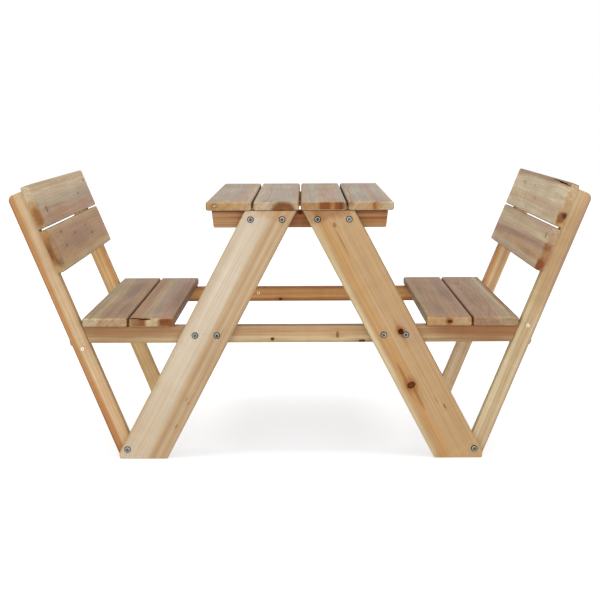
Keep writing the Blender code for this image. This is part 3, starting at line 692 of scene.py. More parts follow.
class Timber:
    """A piece of wood in the frame: its CAD node, its grain frame and its size in that frame."""

    def __init__(self, node, along, face):
        self.node = node
        self.along = along.normalized()
        self.face = face.normalized()
        self.across = self.along.cross(self.face)
        axes = Matrix((self.across, self.along, self.face))
        points = [axes @ v.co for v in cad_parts[node].data.vertices]
        low = Vector([min(p[i] for p in points) for i in range(3)])
        high = Vector([max(p[i] for p in points) for i in range(3)])
        self.size = high - low
        self.middle = axes.transposed() @ ((low + high) / 2)
        self.matrix = Matrix.Translation(self.middle) @ axes.transposed().to_4x4()

    def spread(self, length):
        """Widens the piece on one side; a length below 0 widens the low side."""
        self.size.x += abs(length)
        self.middle += self.across * length / 2
        self.matrix.translation = self.middle
        return self


def tone_ramp(n, place, bands):
    """The tone at a share of the width."""
    fir = bpy.context.scene.fir
    node = n.add("ShaderNodeValToRGB", {0: place})
    stops = node.color_ramp.elements
    for share, tone in bands[2:]:
        stops.new(share)
    for stop, (share, tone) in zip(stops, bands):
        stop.position = share
        stop.color = opaque(getattr(fir, tone))
    return node.outputs[0]


def fir_material(timber, look):
    """The fir of one piece, with its own bands, knots and rings."""
    fir = bpy.context.scene.fir
    material, n, shader = new_material("fir_" + timber.node)
    coordinates = n.add("ShaderNodeTexCoord").outputs["Object"]
    grain = n.add("ShaderNodeMapping", {"Vector": coordinates, "Location": timber.middle,
                                        "Rotation": timber.matrix.to_euler()},
                  vector_type="TEXTURE").outputs["Vector"]
    masks = NO_KNOT
    for row in look.marks:
        middle, radii = ellipsoid(row)
        knot = n.add("ShaderNodeGroup", {"Grain": grain, "Middle": middle, "Radii": radii, "Strength": row[6],
                                         **masks}, node_tree=shared_group("fir_knot", knot_group)).outputs
        masks = {name: knot[name] for name in masks}

    # The bands lie across the piece, and wander a little along it
    stretched = n.vector("MULTIPLY", grain, (9.0, 2.2, 9.0))
    wander = n.fit(n.noise(stretched, 1.0, 2.0, 0.5, look.seed * 7.1), 0.24, -0.12)
    place = n.split(grain)[0]
    place = n.minus(place, masks["Pull"])
    place = n.plus(n.over(place, timber.size.x), 0.5)

    tones = {"Face": tone_ramp(n, n.plus(place, wander), look.bands), "End": tone_ramp(n, place, look.ends)}
    for row in look.patches:
        middle, radii = ellipsoid(row)
        strength, tone = row[6:]
        patch = n.add("ShaderNodeGroup", {"Grain": grain, "Middle": middle, "Radii": radii,
                                          "Strength": strength, "Tone": opaque(getattr(fir, tone)), **tones},
                      node_tree=shared_group("fir_patch", patch_group)).outputs
        tones = {name: patch[name] for name in tones}

    # Boards get the strong painted shade on their sides, the other pieces a faint one
    side = fir.board_side_shade if look.slot in BOARD_SLOTS else fir.batten_side_shade
    wood = n.add("ShaderNodeGroup", {
        "Grain": grain, "Along": timber.along, "Across": timber.across, "Side": opaque(side),
        "Edge Highlight": look.edge, **tones, "Tint": opaque(look.tint), "End Tint": opaque(look.end_tint),
        "Wave": look.wave, "Late": opaque(fir.late), "Knot": opaque(fir.umber), "Warm": opaque(fir.warm),
        "Bark": opaque(fir.bark), "Pith Across": look.pith[0], "Pith Through": look.pith[1],
        "Drift Across": look.drift[0], "Drift Through": look.drift[1],
        "Ring Width": fir.ring_width * look.rings, "Ring Contrast": fir.ring_contrast * look.depth,
        "Fibre Contrast": fir.fibre_contrast * (0.4 + 0.6 * look.depth),
        "Roughness": fir.roughness, "Seed": look.seed * 3.7, **masks,
    }, node_tree=shared_group("fir_timber", timber_group))
    bump = n.add("ShaderNodeBump", {"Strength": 0.6, "Distance": fir.relief,
                                    "Height": wood.outputs["Height"]})
    n.fill(shader, {"Base Color": wood.outputs["Color"], "Roughness": wood.outputs["Roughness"],
                    "Specular IOR Level": n.times(wood.outputs["Gloss"], fir.gloss),
                    "Normal": bump.outputs[0]})
    return material


def plating(name):
    """A plating by the name of its tone, painted dark as shade and reflection in recesses and on rims, and
    pale as a highlight on flat rings and crowns, with a faint mottle.
    """
    sizes = bpy.context.scene.fasteners
    material = bpy.data.materials.get(name + "_plating")
    if material:
        return material
    material, n, shader = new_material(name + "_plating")
    coordinates = n.add("ShaderNodeTexCoord").outputs["Object"]
    # Its share runs from painted shade and reflection to a painted highlight, and also sets how metallic it
    # is
    bright = n.add("ShaderNodeAttribute", attribute_name="bright").outputs["Fac"]
    spangle = n.noise(coordinates, 900.0, 3.0)
    slow = n.noise(coordinates, 60.0, 1.0)
    share = n.plus(bright, n.fit(spangle, 0.5, -0.25))
    share = n.plus(share, n.fit(slow, 1.0, -0.5), clamp=True)
    colour = n.blend(share, opaque(getattr(sizes, name + "_shaded")), opaque(getattr(sizes, name)))
    bump = n.add("ShaderNodeBump", {"Strength": 0.3, "Distance": 0.0001, "Height": spangle})
    n.fill(shader, {"Base Color": colour, "Metallic": n.fit(share, 0.5, 0.5),
                    "Roughness": n.fit(spangle, 0.25, 0.25), "Normal": bump.outputs[0]})
    return material


def set_inputs(modifier, values):
    """Sets a Geometry Nodes modifier's inputs, which go by their sockets' identifiers."""
    for item in modifier.node_group.interface.items_tree:
        if item.item_type == "SOCKET" and item.in_out == "INPUT" and item.name in values:
            modifier[item.identifier] = values[item.name]


def baked_mesh(thing, name):
    """The mesh that an object's modifiers make."""
    bpy.context.view_layer.update()
    evaluated = thing.evaluated_get(bpy.context.evaluated_depsgraph_get())
    mesh = bpy.data.meshes.new_from_object(evaluated)
    mesh.name = name
    return mesh


def new_object(name, data):
    """An object at the origin, in the scene."""
    thing = bpy.data.objects.new(name, data)
    bpy.context.scene.collection.objects.link(thing)
    return thing


def worked(mesh, change):
    """Changes a mesh by a function that works on its edges and faces, and gives it back."""
    bm = bmesh.new()
    bm.from_mesh(mesh)
    change(bm)
    bm.to_mesh(mesh)
    bm.free()
    return mesh


def weld(bm):
    """Joins the points that lie in the same place."""
    bmesh.ops.remove_doubles(bm, verts=bm.verts, dist=MERGE)


def board_tree():
    """A rounded board: a cube's points are spread over flat faces and eased edges, and the edges are worn."""
    n, given = new_group("eased_board", "GeometryNodeTree", {
        "Vector": ("Size", "Straight Steps"), "Float": ("Rounding", "Wear", "Seed"), "Int": ("Corner Steps",),
        "Material": ("Material",)}, {"Geometry": ("Geometry",)})
    corner = given["Corner Steps"]
    straight = given["Straight Steps"]
    corners = n.join(corner, corner, corner)
    steps = n.vector("ADD", straight, n.vector("SCALE", corners, scale=2.0))
    counts = n.split(n.vector("ADD", steps, (1.0, 1.0, 1.0)))
    cube = n.add("GeometryNodeMeshCube", {"Size": (1.0, 1.0, 1.0), "Vertices X": counts[0],
                                          "Vertices Y": counts[1], "Vertices Z": counts[2]})
    where = n.add("GeometryNodeInputPosition").outputs[0]
    step = n.vector("MULTIPLY", n.vector("ADD", where, (0.5, 0.5, 0.5)), steps)
    ahead = n.vector("SUBTRACT", step, corners)

    def limited(value):
        """A vector with each part held between 0 and 1."""
        above = n.vector("MAXIMUM", value, (0.0, 0.0, 0.0))
        return n.vector("MINIMUM", above, (1.0, 1.0, 1.0))

    low = limited(n.vector("DIVIDE", n.vector("SCALE", ahead, scale=-1.0), corners))
    high = limited(n.vector("DIVIDE", n.vector("SUBTRACT", ahead, straight), corners))
    outward = n.vector("NORMALIZE", n.vector("SUBTRACT", high, low))
    share = limited(n.vector("DIVIDE", ahead, straight))
    share = n.vector("SUBTRACT", share, (0.5, 0.5, 0.5))
    radius = given["Rounding"]
    inset = n.join(radius, radius, radius)
    core = n.vector("SUBTRACT", given["Size"], n.vector("SCALE", inset, scale=2.0))
    core = n.vector("MULTIPLY", share, core)

    # Only an edge, where no one direction holds the whole normal, is worn
    size = n.split(n.vector("ABSOLUTE", outward))
    most = n.most(n.most(size[0], size[1]), size[2])
    edge = n.times(n.minus(1.0, most), 3.4, clamp=True)
    rough = n.maths("POWER", n.noise(n.vector("MULTIPLY", core, (60.0, 18.0, 60.0)), 1.0, 3.0, 0.55,
                                     given["Seed"]), 2.2)
    lost = n.times(n.times(edge, rough), given["Wear"])
    place = n.vector("ADD", core, n.vector("SCALE", outward, scale=n.minus(radius, lost)))
    board = n.add("GeometryNodeSetPosition", {"Geometry": cube.outputs["Mesh"], "Position": place})
    smooth = n.add("GeometryNodeSetShadeSmooth", {"Geometry": board.outputs[0]})
    real = n.add("GeometryNodeRealizeInstances", {"Geometry": smooth.outputs[0]})
    painted = n.add("GeometryNodeSetMaterial", {"Geometry": real.outputs[0], "Material": given["Material"]})
    n.add("NodeGroupOutput", {"Geometry": painted.outputs[0]})
    return n.tree


def finish_piece(piece, nodes):
    """A finished piece rides on the table's body and stands for its CAD nodes, where it has any."""
    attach(piece, BODY)
    if nodes:
        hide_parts(*nodes)


def cut_hole(thing, place, row, material):
    """Cuts an ellipsoid out of a piece; the place turns the grain frame to where the piece stands."""
    middle, radii = ellipsoid(row)

    def ball(bm):
        """The ellipsoid that goes."""
        bmesh.ops.create_icosphere(bm, subdivisions=3, radius=1.0,
                                   matrix=Matrix.Translation(middle) @ Matrix.Diagonal((*radii, 1.0)))
        bm.transform(place)

    mesh = worked(bpy.data.meshes.new("hole"), ball)
    mesh.materials.append(material)
    cutter = new_object("hole", mesh)
    modifier = thing.modifiers.new("hole", "BOOLEAN")
    modifier.operation = "DIFFERENCE"
    modifier.solver = "EXACT"
    modifier.object = cutter
    return cutter


def finish_wood(blank, timber, material, place, move):
    """Cuts a blank's holes at a place, makes it a plain mesh, moves that and hands the piece over."""
    look = LOOKS[timber.node]
    cutters = [cut_hole(blank, place, row, material) for row in look.holes]
    weighted = blank.modifiers.new("weighted normals", "WEIGHTED_NORMAL")
    weighted.keep_sharp = True
    mesh = baked_mesh(blank, timber.node + "_wood")
    for thing in (blank, *cutters):
        bpy.data.objects.remove(thing)
    mesh.materials.clear()
    mesh.materials.append(material)
    mesh.polygons.foreach_set("material_index", [0] * len(mesh.polygons))
    if move:
        mesh.transform(move)
    finish_piece(new_object(timber.node + "_wood", mesh), [timber.node])


def make_board(timber, rounding=None):
    """One eased board, from its CAD node's size and place."""
    look = LOOKS[timber.node]
    settings = bpy.context.scene.boards
    blank = new_object("board_blank", bpy.data.meshes.new("board_blank"))
    modifier = blank.modifiers.new("eased board", "NODES")
    modifier.node_group = shared_group("eased_board", board_tree)
    material = fir_material(timber, look)
    steps = [float(count) for count in (settings.width_steps, settings.length_steps, settings.side_steps)]
    set_inputs(modifier, {
        "Size": timber.size, "Rounding": rounding or settings.rounding, "Corner Steps": settings.corner_steps,
        "Straight Steps": steps, "Wear": settings.wear, "Seed": look.seed * 5.3, "Material": material,
    })
    finish_wood(blank, timber, material, Matrix.Identity(4), timber.matrix)


def make_sawn(timber):
    """One piece that keeps its CAD outline and bolt holes, welded and with smooth rounded edges."""
    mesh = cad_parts[timber.node].data.copy()
    mesh.materials.clear()
    worked(mesh, weld)
    mesh.shade_smooth()
    mesh.set_sharp_from_angle(angle=WOOD_CREASE)
    material = fir_material(timber, LOOKS[timber.node])
    mesh.materials.append(material)
    finish_wood(new_object("sawn_blank", mesh), timber, material, timber.matrix, None)


def leg_along(side):
    """The way up a leg."""
    return Vector((-side * math.sin(LEG_LEAN), 0.0, math.cos(LEG_LEAN)))


def post_along(side):
    """The way up a backrest post."""
    return Vector((side * math.sin(POST_LEAN), 0.0, math.cos(POST_LEAN)))


def inward_of(side):
    """The way from a backrest to the table, square to the posts."""
    return post_along(side).cross(Y_AXIS) * side


class PICNIC_OT_tabletop(bpy.types.Operator):
    """Makes the four boards of the table top"""

    bl_idname = "picnic.tabletop"
    bl_label = "Table top"

    def execute(self, context):
        for number in range(1, 5):
            make_board(Timber(f"tabletop_board_{number}", Y_AXIS, Z_AXIS))
        return {"FINISHED"}


class PICNIC_OT_seats(bpy.types.Operator):
    """Makes the two boards of each seat"""

    bl_idname = "picnic.seats"
    bl_label = "Seats"

    def execute(self, context):
        for side_name, side in SIDES:
            for place in ("outer", "inner"):
                make_board(Timber(f"seat_board_{side_name}_{place}", Y_AXIS, Z_AXIS))
        return {"FINISHED"}


class PICNIC_OT_backrests(bpy.types.Operator):
    """Makes the two boards of each backrest"""

    bl_idname = "picnic.backrests"
    bl_label = "Backrests"

    def execute(self, context):
        boards = context.scene.boards
        for side_name, side in SIDES:
            for place, swell in (("upper", boards.back_spread), ("lower", -boards.back_spread)):
                timber = Timber(f"back_board_{side_name}_{place}", -side * Y_AXIS, inward_of(side))
                make_board(timber.spread(swell), boards.back_rounding)
        return {"FINISHED"}


class PICNIC_OT_end_frames(bpy.types.Operator):
    """Makes the legs, posts, cleats and rails of both end frames"""

    bl_idname = "picnic.end_frames"
    bl_label = "End frames"

    def execute(self, context):
        for end_name, end in ENDS:
            outward = end * Y_AXIS
            for side_name, side in SIDES:
                make_sawn(Timber(f"leg_{end_name}_{side_name}", leg_along(side), outward))
                make_sawn(Timber(f"back_post_{end_name}_{side_name}", post_along(side), -Y_AXIS))
            make_sawn(Timber("tabletop_cleat_" + end_name, X_AXIS, -Y_AXIS))
            make_sawn(Timber("seat_rail_" + end_name, X_AXIS, -Y_AXIS))
        return {"FINISHED"}


def fastener_tree():
    """A turned fastener from its profile, with its drive cut in, at each of the marked places."""
    n, given = new_group("turned_fastener", "GeometryNodeTree", {
        "Geometry": ("Profile",), "Object": ("Places", "Drive"), "Int": ("Turn Steps",),
        "Material": ("Material",)}, {"Geometry": ("Geometry",)})
    profile = given["Profile"]
    count = n.add("GeometryNodeAttributeDomainSize", {"Geometry": profile}).outputs["Point Count"]
    steps = given["Turn Steps"]
    sheet = n.add("GeometryNodeMeshGrid", {"Size X": 1.0, "Size Y": 1.0, "Vertices Y": count,
                                           "Vertices X": n.plus(steps, 1.0)})
    index = n.add("GeometryNodeInputIndex").outputs[0]
    row = n.maths("FLOORED_MODULO", index, count)
    angle = n.maths("FLOOR", n.over(n.plus(index, 0.5), count))
    angle = n.times(n.over(angle, steps), 2 * math.pi)
    where = n.add("GeometryNodeInputPosition").outputs[0]
    point = n.add("GeometryNodeSampleIndex", {"Geometry": profile, "Value": where, "Index": row},
                  data_type="FLOAT_VECTOR").outputs[0]
    point = n.split(point)
    # Each point carries its share between painted shade and painted highlight, which also sets the metal
    shine = n.add("GeometryNodeInputNamedAttribute", {"Name": "shine"}, data_type="FLOAT").outputs[0]
    bright = n.add("GeometryNodeSampleIndex", {"Geometry": profile, "Value": shine, "Index": row},
                   data_type="FLOAT").outputs[0]
    place = n.join(n.times(point[0], n.maths("COSINE", angle)), n.times(point[0], n.maths("SINE", angle)),
                   point[2])
    turned = n.add("GeometryNodeStoreNamedAttribute", {"Geometry": sheet.outputs["Mesh"], "Name": "bright",
                                                       "Value": bright}, data_type="FLOAT", domain="POINT")
    turned = n.add("GeometryNodeSetPosition", {"Geometry": turned.outputs[0], "Position": place})
    turned = n.add("GeometryNodeMergeByDistance", {"Geometry": turned.outputs[0],
                                                    "Distance": TURNED_MERGE})
    drive = n.add("GeometryNodeObjectInfo", {"Object": given["Drive"]}).outputs["Geometry"]
    cut = n.add("GeometryNodeMeshBoolean", {"Mesh 1": turned.outputs[0], "Mesh 2": drive},
                operation="DIFFERENCE", solver="EXACT")
    marks = n.add("GeometryNodeObjectInfo", {"Object": given["Places"]}).outputs["Geometry"]
    turn = n.add("GeometryNodeInputNamedAttribute", {"Name": "turn"}, data_type="FLOAT_VECTOR").outputs[0]
    turn = n.add("FunctionNodeEulerToRotation", {0: turn}).outputs[0]
    copies = n.add("GeometryNodeInstanceOnPoints", {"Points": marks, "Instance": cut.outputs["Mesh"],
                                                    "Rotation": turn})
    real = n.add("GeometryNodeRealizeInstances", {"Geometry": copies.outputs[0]})
    painted = n.add("GeometryNodeSetMaterial", {"Geometry": real.outputs[0], "Material": given["Material"]})
    n.add("NodeGroupOutput", {"Geometry": painted.outputs[0]})
    return n.tree


def profile_object(name, points):
    """The points (radius, height, share of painted light and metal) of a fastener's profile, as an object."""
    mesh = bpy.data.meshes.new(name)
    mesh.from_pydata([(radius, 0.0, height) for radius, height, shine in points], [], [])
    shines = mesh.attributes.new("shine", "FLOAT", "POINT")
    shines.data.foreach_set("value", [shine for radius, height, shine in points])
    return new_object(name, mesh)


def places_object(name, places):
    """Marks where fasteners go: a point under each head, with the turn that sends +Z into the wood."""
    spin = random.Random(len(places))
    mesh = bpy.data.meshes.new(name)
    mesh.from_pydata([place for place, inward in places], [], [])
    turns = mesh.attributes.new("turn", "FLOAT_VECTOR", "POINT")
    for mark, (place, inward) in zip(turns.data, places):
        about = Matrix.Rotation(spin.uniform(0.0, math.pi), 3, "Z")
        mark.vector = (inward.to_track_quat("Z", "Y").to_matrix() @ about).to_euler()
    return new_object(name, mesh)


def hexagon_prism(bm, radius, low, high):
    """Adds an upright six-sided prism."""
    place = Matrix.Translation((0.0, 0.0, (low + high) / 2))
    bmesh.ops.create_cone(bm, cap_ends=True, segments=6, radius1=radius, radius2=radius,
                          depth=high - low, matrix=place)


def make_fasteners(name, profile, cut_drive, places, nodes, material):
    """One piece that holds all the fasteners of a kind; a function builds what is cut out of their ends."""
    profile_thing = profile_object(name + "_profile", profile)
    places_thing = places_object(name + "_places", places)
    drive = new_object(name + "_drive", worked(bpy.data.meshes.new(name + "_drive"), cut_drive))
    modifier = profile_thing.modifiers.new("turned fastener", "NODES")
    modifier.node_group = shared_group("turned_fastener", fastener_tree)
    set_inputs(modifier, {"Places": places_thing, "Drive": drive, "Material": material,
                          "Turn Steps": bpy.context.scene.fasteners.turn_steps})
    mesh = baked_mesh(profile_thing, name)
    for thing in (profile_thing, places_thing, drive):
        bpy.data.objects.remove(thing)

    def close(bm):
        """Welds the turned shape and turns its faces outwards."""
        weld(bm)
        bmesh.ops.recalc_face_normals(bm, faces=bm.faces)

    worked(mesh, close)
    mesh.shade_smooth()
    mesh.set_sharp_from_angle(angle=METAL_CREASE)
    finish_piece(new_object(name, mesh), nodes)


def head_points(sizes, rim_paint_and_metal=0.0):
    """A button head from the shank to the crown: a rim and a slope, painted dark as shade and reflection at
    first, and a flat ring painted pale as a highlight.
    """
    seat = -sizes.seat_gap
    crown = seat - sizes.head_height
    rim = seat - sizes.head_rim
    points = [(sizes.shank_radius, seat, PAINTED_SHADE_DULL), (sizes.head_radius, seat, rim_paint_and_metal),
              (sizes.head_radius, rim, rim_paint_and_metal)]
    slope = sizes.head_radius - sizes.rim_step - sizes.head_flat
    for i in range(1, ROUND_STEPS + 1):
        angle = math.pi / 2 * i / ROUND_STEPS
        shine = 0.05 + rim_paint_and_metal if i < ROUND_STEPS - 1 else PAINTED_HIGHLIGHT_SHINY
        radius = sizes.head_flat + slope * math.cos(angle)
        points.append((radius, rim + (crown - rim) * math.sin(angle), shine))
    return points + [(0.0, crown, 1.0)]


def bolt_place(node, inward):
    """Where a bolt's head sits on the wood, from its CAD node: heads stand out against the inward way."""
    sizes = bpy.context.scene.fasteners
    timber = Timber(node, inward, inward.orthogonal())
    head = sizes.head_height + sizes.seat_gap
    return timber.middle - inward * (timber.size.y / 2 - head), inward


class PICNIC_OT_bolts(bpy.types.Operator):
    """Makes the frame bolts with their sleeve nuts, and the bolts through the posts"""

    bl_idname = "picnic.bolts"
    bl_label = "Bolts"

    def execute(self, context):
        sizes = context.scene.fasteners
        nodes = [f"{kind}_{end_name}_{side_name}{place}"
                 for kind, places in (("cleat_bolt", ("_inner", "_outer")),
                                      ("rail_bolt", ("_inner", "_outer")), ("foot_bolt", ("",)))
                 for end_name, end in ENDS for side_name, side in SIDES for place in places]
        places = [bolt_place(node, -Y_AXIS if "_rear_" in node else Y_AXIS) for node in nodes]
        low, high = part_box(nodes[0])
        head = sizes.head_height + sizes.seat_gap
        end = high.y - low.y - head
        nut = end - sizes.flange_height
        sleeve_end = nut - sizes.seat_gap - sizes.sleeve_length
        profile = [
            (0.0, end, PAINTED_HIGHLIGHT_SHINY), (sizes.flange_radius * 0.8, end, PAINTED_HIGHLIGHT_SHINY),
            (sizes.flange_radius, end - sizes.flange_height * 0.6, 0.5), (sizes.flange_radius, nut, PAINTED_SHADE_DULL),
            (sizes.sleeve_radius, nut, PAINTED_SHADE_DULL), (sizes.sleeve_radius, sleeve_end, PAINTED_SHADE_DULL),
            (sizes.shank_radius, sleeve_end, PAINTED_SHADE_DULL),
        ] + head_points(sizes)

        def head_socket(bm):
            """A hexagonal socket in the head."""
            hexagon_prism(bm, sizes.key_radius, -2 * head, sizes.key_depth - head)

        def both_sockets(bm):
            """The same, and one in the nut."""
            head_socket(bm)
            hexagon_prism(bm, sizes.key_radius, end - sizes.key_depth, end + head)

        make_fasteners("frame_bolts", profile, both_sockets, places, nodes, plating("zinc"))

        nodes = []
        places = []
        for end_name, end in ENDS:
            for side_name, side in SIDES:
                nodes.append(f"post_bolt_{end_name}_{side_name}")
                places.append(bolt_place(nodes[-1], inward_of(side)))
        reach = Timber("post_bolt_front_right", inward_of(1), Y_AXIS).size.y - head
        tip = sizes.shank_radius * 0.6
        profile = [(0.0, reach, PAINTED_SHADE_DULL), (tip, reach, PAINTED_SHADE_DULL), (sizes.shank_radius, reach - tip, PAINTED_SHADE_DULL)]
        make_fasteners("post_bolts", profile + head_points(sizes, PAINTED_HIGHLIGHT_SHINY), head_socket, places, nodes,
                       plating("zinc"))
        return {"FINISHED"}


class PICNIC_OT_ring_screws(bpy.types.Operator):
    """Makes the three small ring screws, on two posts and the rear rail"""

    bl_idname = "picnic.ring_screws"
    bl_label = "Ring screws"

    def execute(self, context):
        sizes = context.scene.fasteners
        nodes = ["ring_screw_post_left", "ring_screw_post_right", "ring_screw_rail_rear"]
        head = sizes.ring_height + sizes.seat_gap
        places = []
        for node in nodes:
            timber = Timber(node, Y_AXIS, Z_AXIS)
            places.append((timber.middle - Y_AXIS * (timber.size.y / 2 - head), Y_AXIS))
        reach = timber.size.y - head
        shank = sizes.ring_radius * 0.45
        bore = sizes.ring_radius * 0.48
        seat = -sizes.seat_gap
        crown = seat - sizes.ring_height
        points = [(0.0, reach, PAINTED_SHADE_DULL), (shank, reach - 2 * shank, PAINTED_SHADE_DULL), (shank, seat, PAINTED_SHADE_DULL),
                  (sizes.ring_radius, seat, 0.5)]
        middle = (sizes.ring_radius + bore) / 2
        half = (sizes.ring_radius - bore) / 2
        rise = sizes.ring_height * 0.65
        foot = crown + rise
        for i in range(ROUND_STEPS + 1):
            angle = math.pi * i / ROUND_STEPS
            points.append((middle + half * math.cos(angle), foot - rise * math.sin(angle), 1.0))
        points.append((0.0, foot, 0.3))

        def slot(bm):
            """A straight slot across the recessed middle."""
            size = (bore * 1.6, sizes.slot_width, sizes.ring_height * 1.6, 1.0)
            bmesh.ops.create_cube(bm, size=1.0,
                                  matrix=Matrix.Translation((0.0, 0.0, crown)) @ Matrix.Diagonal(size))

        make_fasteners("ring_screws", points, slot, places, nodes, plating("nickel"))
        return {"FINISHED"}


def screw_places():
    """Wood screws: up through the cleats and rails into the boards, and through the posts into the backs."""
    places = []

    def screws_up(board, batten, middle, side, offsets):
        """Screws from under a batten into a board, at distances from the board's middle."""
        low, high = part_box(board)
        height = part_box(batten)[0].z
        for offset in offsets:
            places.append((Vector(((low.x + high.x) / 2 + side * offset, middle, height)), Z_AXIS))

    for end_name, end in ENDS:
        cleat = "tabletop_cleat_" + end_name
        rail = "seat_rail_" + end_name
        low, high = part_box(cleat)
        middle = (low.y + high.y) / 2
        for number in range(1, 5):
            screws_up(f"tabletop_board_{number}", cleat, middle, 1, SCREW_PAIR)
        for side_name, side in SIDES:
            screws_up(f"seat_board_{side_name}_outer", rail, middle, side, SCREW_PAIR_AT_POST)
            screws_up(f"seat_board_{side_name}_inner", rail, middle, side, SCREW_PAIR)
            inward = inward_of(side)
            post = Timber(f"back_post_{end_name}_{side_name}", post_along(side), inward)
            for place in ("upper", "lower"):
                board = Timber(f"back_board_{side_name}_{place}", Y_AXIS, inward)
                outer = board.middle - inward * (post.size.z + board.size.z / 2)
                for offset in SCREW_PAIR:
                    spot = outer + post_along(side) * offset
                    places.append((Vector((spot.x, middle, spot.z)), inward))
    return places


class PICNIC_OT_wood_screws(bpy.types.Operator):
    """Makes the flat-headed wood screws that hold the boards from below and behind"""

    bl_idname = "picnic.wood_screws"
    bl_label = "Wood screws"

    def execute(self, context):
        sizes = context.scene.fasteners
        head = sizes.screw_head_radius
        shank = head * 0.5
        crown = -sizes.seat_gap
        points = [(0.0, sizes.screw_length, PAINTED_SHADE_DULL), (shank * 0.9, sizes.screw_length - 4 * shank, PAINTED_SHADE_DULL),
                  (shank, head * 0.6, PAINTED_SHADE_DULL), (head, 0.0, 0.4),
                  (head * 0.96, crown, PAINTED_HIGHLIGHT_SHINY), (0.0, crown, PAINTED_HIGHLIGHT_SHINY)]

        def cross(bm):
            """A cross-shaped recess, as one solid."""
            arm, half, deep = head * 0.6, head * 0.14, head * 0.35
            outline = []
            for turn in range(4):
                spin = Matrix.Rotation(turn * math.pi / 2, 3, "Z")
                outline += [spin @ Vector((x, y, 0.0)) for x, y in ((half, half), (half, arm), (-half, arm))]
            rings = [[bm.verts.new(point + Z_AXIS * z) for point in outline] for z in (-deep, deep)]
            bm.faces.new(reversed(rings[0]))
            bm.faces.new(rings[1])
            for i in range(len(outline)):
                j = (i + 1) % len(outline)
                bm.faces.new((rings[0][i], rings[0][j], rings[1][j], rings[1][i]))

        make_fasteners("wood_screws", points, cross, screw_places(), [], plating("zinc"))
        return {"FINISHED"}


def ray_mask(n):
    """1 for what the camera sees, also in gloss and through glass."""
    path = n.add("ShaderNodeLightPath").outputs
    seen = n.most(path["Is Camera Ray"], path["Is Glossy Ray"])
    return n.most(seen, path["Is Transmission Ray"])


def make_world(studio):
    """An even room light, white where it is seen."""
    world = bpy.data.worlds.new("room")
    bpy.context.scene.world = world
    world.use_nodes = True
    n = Nodes(world.node_tree)
    rest = studio.sky_strength
    n.fill(world.node_tree.nodes["Background"], {"Color": (1.0, 1.0, 1.0, 1.0),
                                                 "Strength": n.fit(ray_mask(n), 1.0 - rest, rest)})


def make_floor(studio):
    """A pale floor that keeps the table's soft shadow in the middle, with more glow further out that paints
    light over the shadows there.
    """

    def sheet(bm):
        """One large square."""
        bmesh.ops.create_grid(bm, x_segments=1, y_segments=1, size=studio.floor_reach)

    floor = new_object("floor", worked(bpy.data.meshes.new("floor"), sheet))
    material, n, shader = new_material("floor_white")
    n.tree.nodes.remove(shader)
    tone = studio.floor_tone
    matt = n.add("ShaderNodeBsdfDiffuse", {"Color": (tone * 0.96, tone, tone * 1.05, 1.0)})
    # Further from the table the glow is stronger: painted light over the shadows there
    place = n.vector("ADD", n.add("ShaderNodeTexCoord").outputs["Object"], SHADE_SHIFT)
    away = n.vector("LENGTH", n.vector("DIVIDE", place, SHADE_REACH))
    rise = n.fit(n.ramp(away, 0.3, 1.0), studio.backdrop_lift - studio.floor_lift, studio.floor_lift)
    glow = n.add("ShaderNodeEmission", {"Strength": n.times(ray_mask(n), rise)})
    both = n.add("ShaderNodeAddShader", {0: matt.outputs[0], 1: glow.outputs[0]})
    n.fill(n.tree.nodes["Material Output"], {"Surface": both.outputs[0]})
    floor.data.materials.append(material)


def make_lamp(name, power, place, target, size):
    """A large soft box that points at a target."""
    data = bpy.data.lights.new(name, "AREA")
    data.shape = "RECTANGLE"
    data.size, data.size_y = size
    data.energy = power
    lamp = new_object(name, data)
    lamp.location = place
    lamp.rotation_euler = (Vector(target) - Vector(place)).to_track_quat("-Z", "Y").to_euler()


def make_camera(studio):
    """The camera at the photograph's place and angle."""
    yaw, pitch, roll = studio.camera_yaw, studio.camera_pitch, studio.camera_roll
    forward = Vector((math.sin(yaw) * math.cos(pitch), math.cos(yaw) * math.cos(pitch), math.sin(pitch)))
    right = Vector((math.cos(yaw), -math.sin(yaw), 0.0))
    up = right.cross(forward)
    rolled_right = right * math.cos(roll) + up * math.sin(roll)
    rolled_up = up * math.cos(roll) - right * math.sin(roll)
    data = bpy.data.cameras.new("camera")
    data.sensor_width = SENSOR_WIDTH
    data.lens = studio.lens
    camera = new_object("camera", data)
    turn = Matrix((rolled_right, rolled_up, -forward)).transposed().to_4x4()
    camera.matrix_world = Matrix.Translation(studio.camera_place) @ turn
    bpy.context.scene.camera = camera


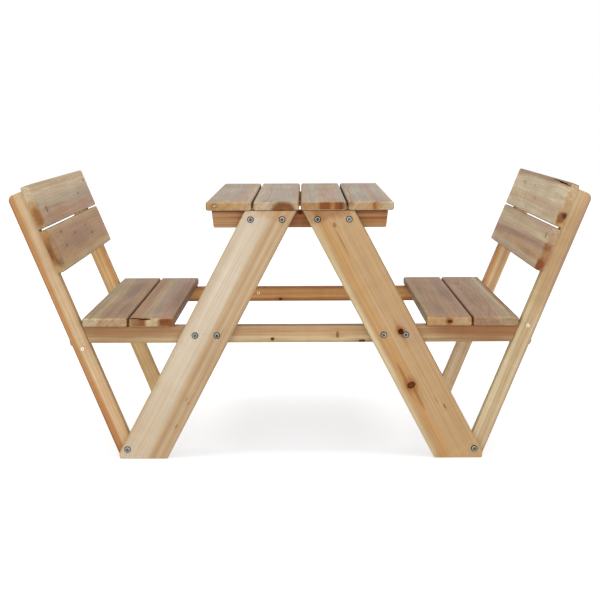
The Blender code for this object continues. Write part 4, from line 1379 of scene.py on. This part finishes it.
class PICNIC_OT_studio(bpy.types.Operator):
    """Makes the camera, the soft lamps, the room light and the pale floor"""

    bl_idname = "picnic.studio"
    bl_label = "Studio"

    def execute(self, context):
        studio = context.scene.studio
        context.scene.view_settings.view_transform = "Standard"
        make_camera(studio)
        make_world(studio)
        make_floor(studio)
        make_lamp("key", studio.key_strength, place=(0.0, -9.0, 2.2), target=(0.0, -0.4, 2.2),
                  size=(16.0, 4.4))
        make_lamp("top", studio.top_strength, place=(0.0, -1.2, 5.5), target=(0.0, 0.0, 0.3),
                  size=(1.8, 1.8))
        return {"FINISHED"}


OPERATORS = (
    PICNIC_OT_tabletop,
    PICNIC_OT_seats,
    PICNIC_OT_backrests,
    PICNIC_OT_end_frames,
    PICNIC_OT_bolts,
    PICNIC_OT_ring_screws,
    PICNIC_OT_wood_screws,
    PICNIC_OT_studio,
)

SETTINGS = (
    ("fir", FirSettings),
    ("boards", BoardSettings),
    ("fasteners", FastenerSettings),
    ("studio", StudioSettings),
)


class PICNIC_PT_panel(bpy.types.Panel):
    """Lists the pieces and the settings of the picnic table"""

    bl_idname = "PICNIC_PT_panel"
    bl_label = "Picnic table"
    bl_space_type = "VIEW_3D"
    bl_region_type = "UI"
    bl_category = "Picnic table"

    def draw(self, context):
        for operator in OPERATORS:
            self.layout.operator(operator.bl_idname)
        for name, group in SETTINGS:
            box = self.layout.box()
            for value in group.__annotations__:
                box.prop(getattr(context.scene, name), value)


def register():
    """Registers the classes and hangs the settings on the scene."""
    for group in (*(group for name, group in SETTINGS), *OPERATORS, PICNIC_PT_panel):
        bpy.utils.register_class(group)
    for name, group in SETTINGS:
        setattr(bpy.types.Scene, name, PointerProperty(type=group))


def unregister():
    """Takes the settings and the classes away again."""
    for name, group in SETTINGS:
        delattr(bpy.types.Scene, name)
    for group in (PICNIC_PT_panel, *reversed(OPERATORS), *(group for name, group in reversed(SETTINGS))):
        bpy.utils.unregister_class(group)


def main():
    """Registers the classes and makes every piece in turn, then the studio."""
    register()
    bpy.ops.picnic.tabletop()
    bpy.ops.picnic.seats()
    bpy.ops.picnic.backrests()
    bpy.ops.picnic.end_frames()
    bpy.ops.picnic.bolts()
    bpy.ops.picnic.ring_screws()
    bpy.ops.picnic.wood_screws()
    bpy.ops.picnic.studio()


if __name__ == "__main__":
    main()
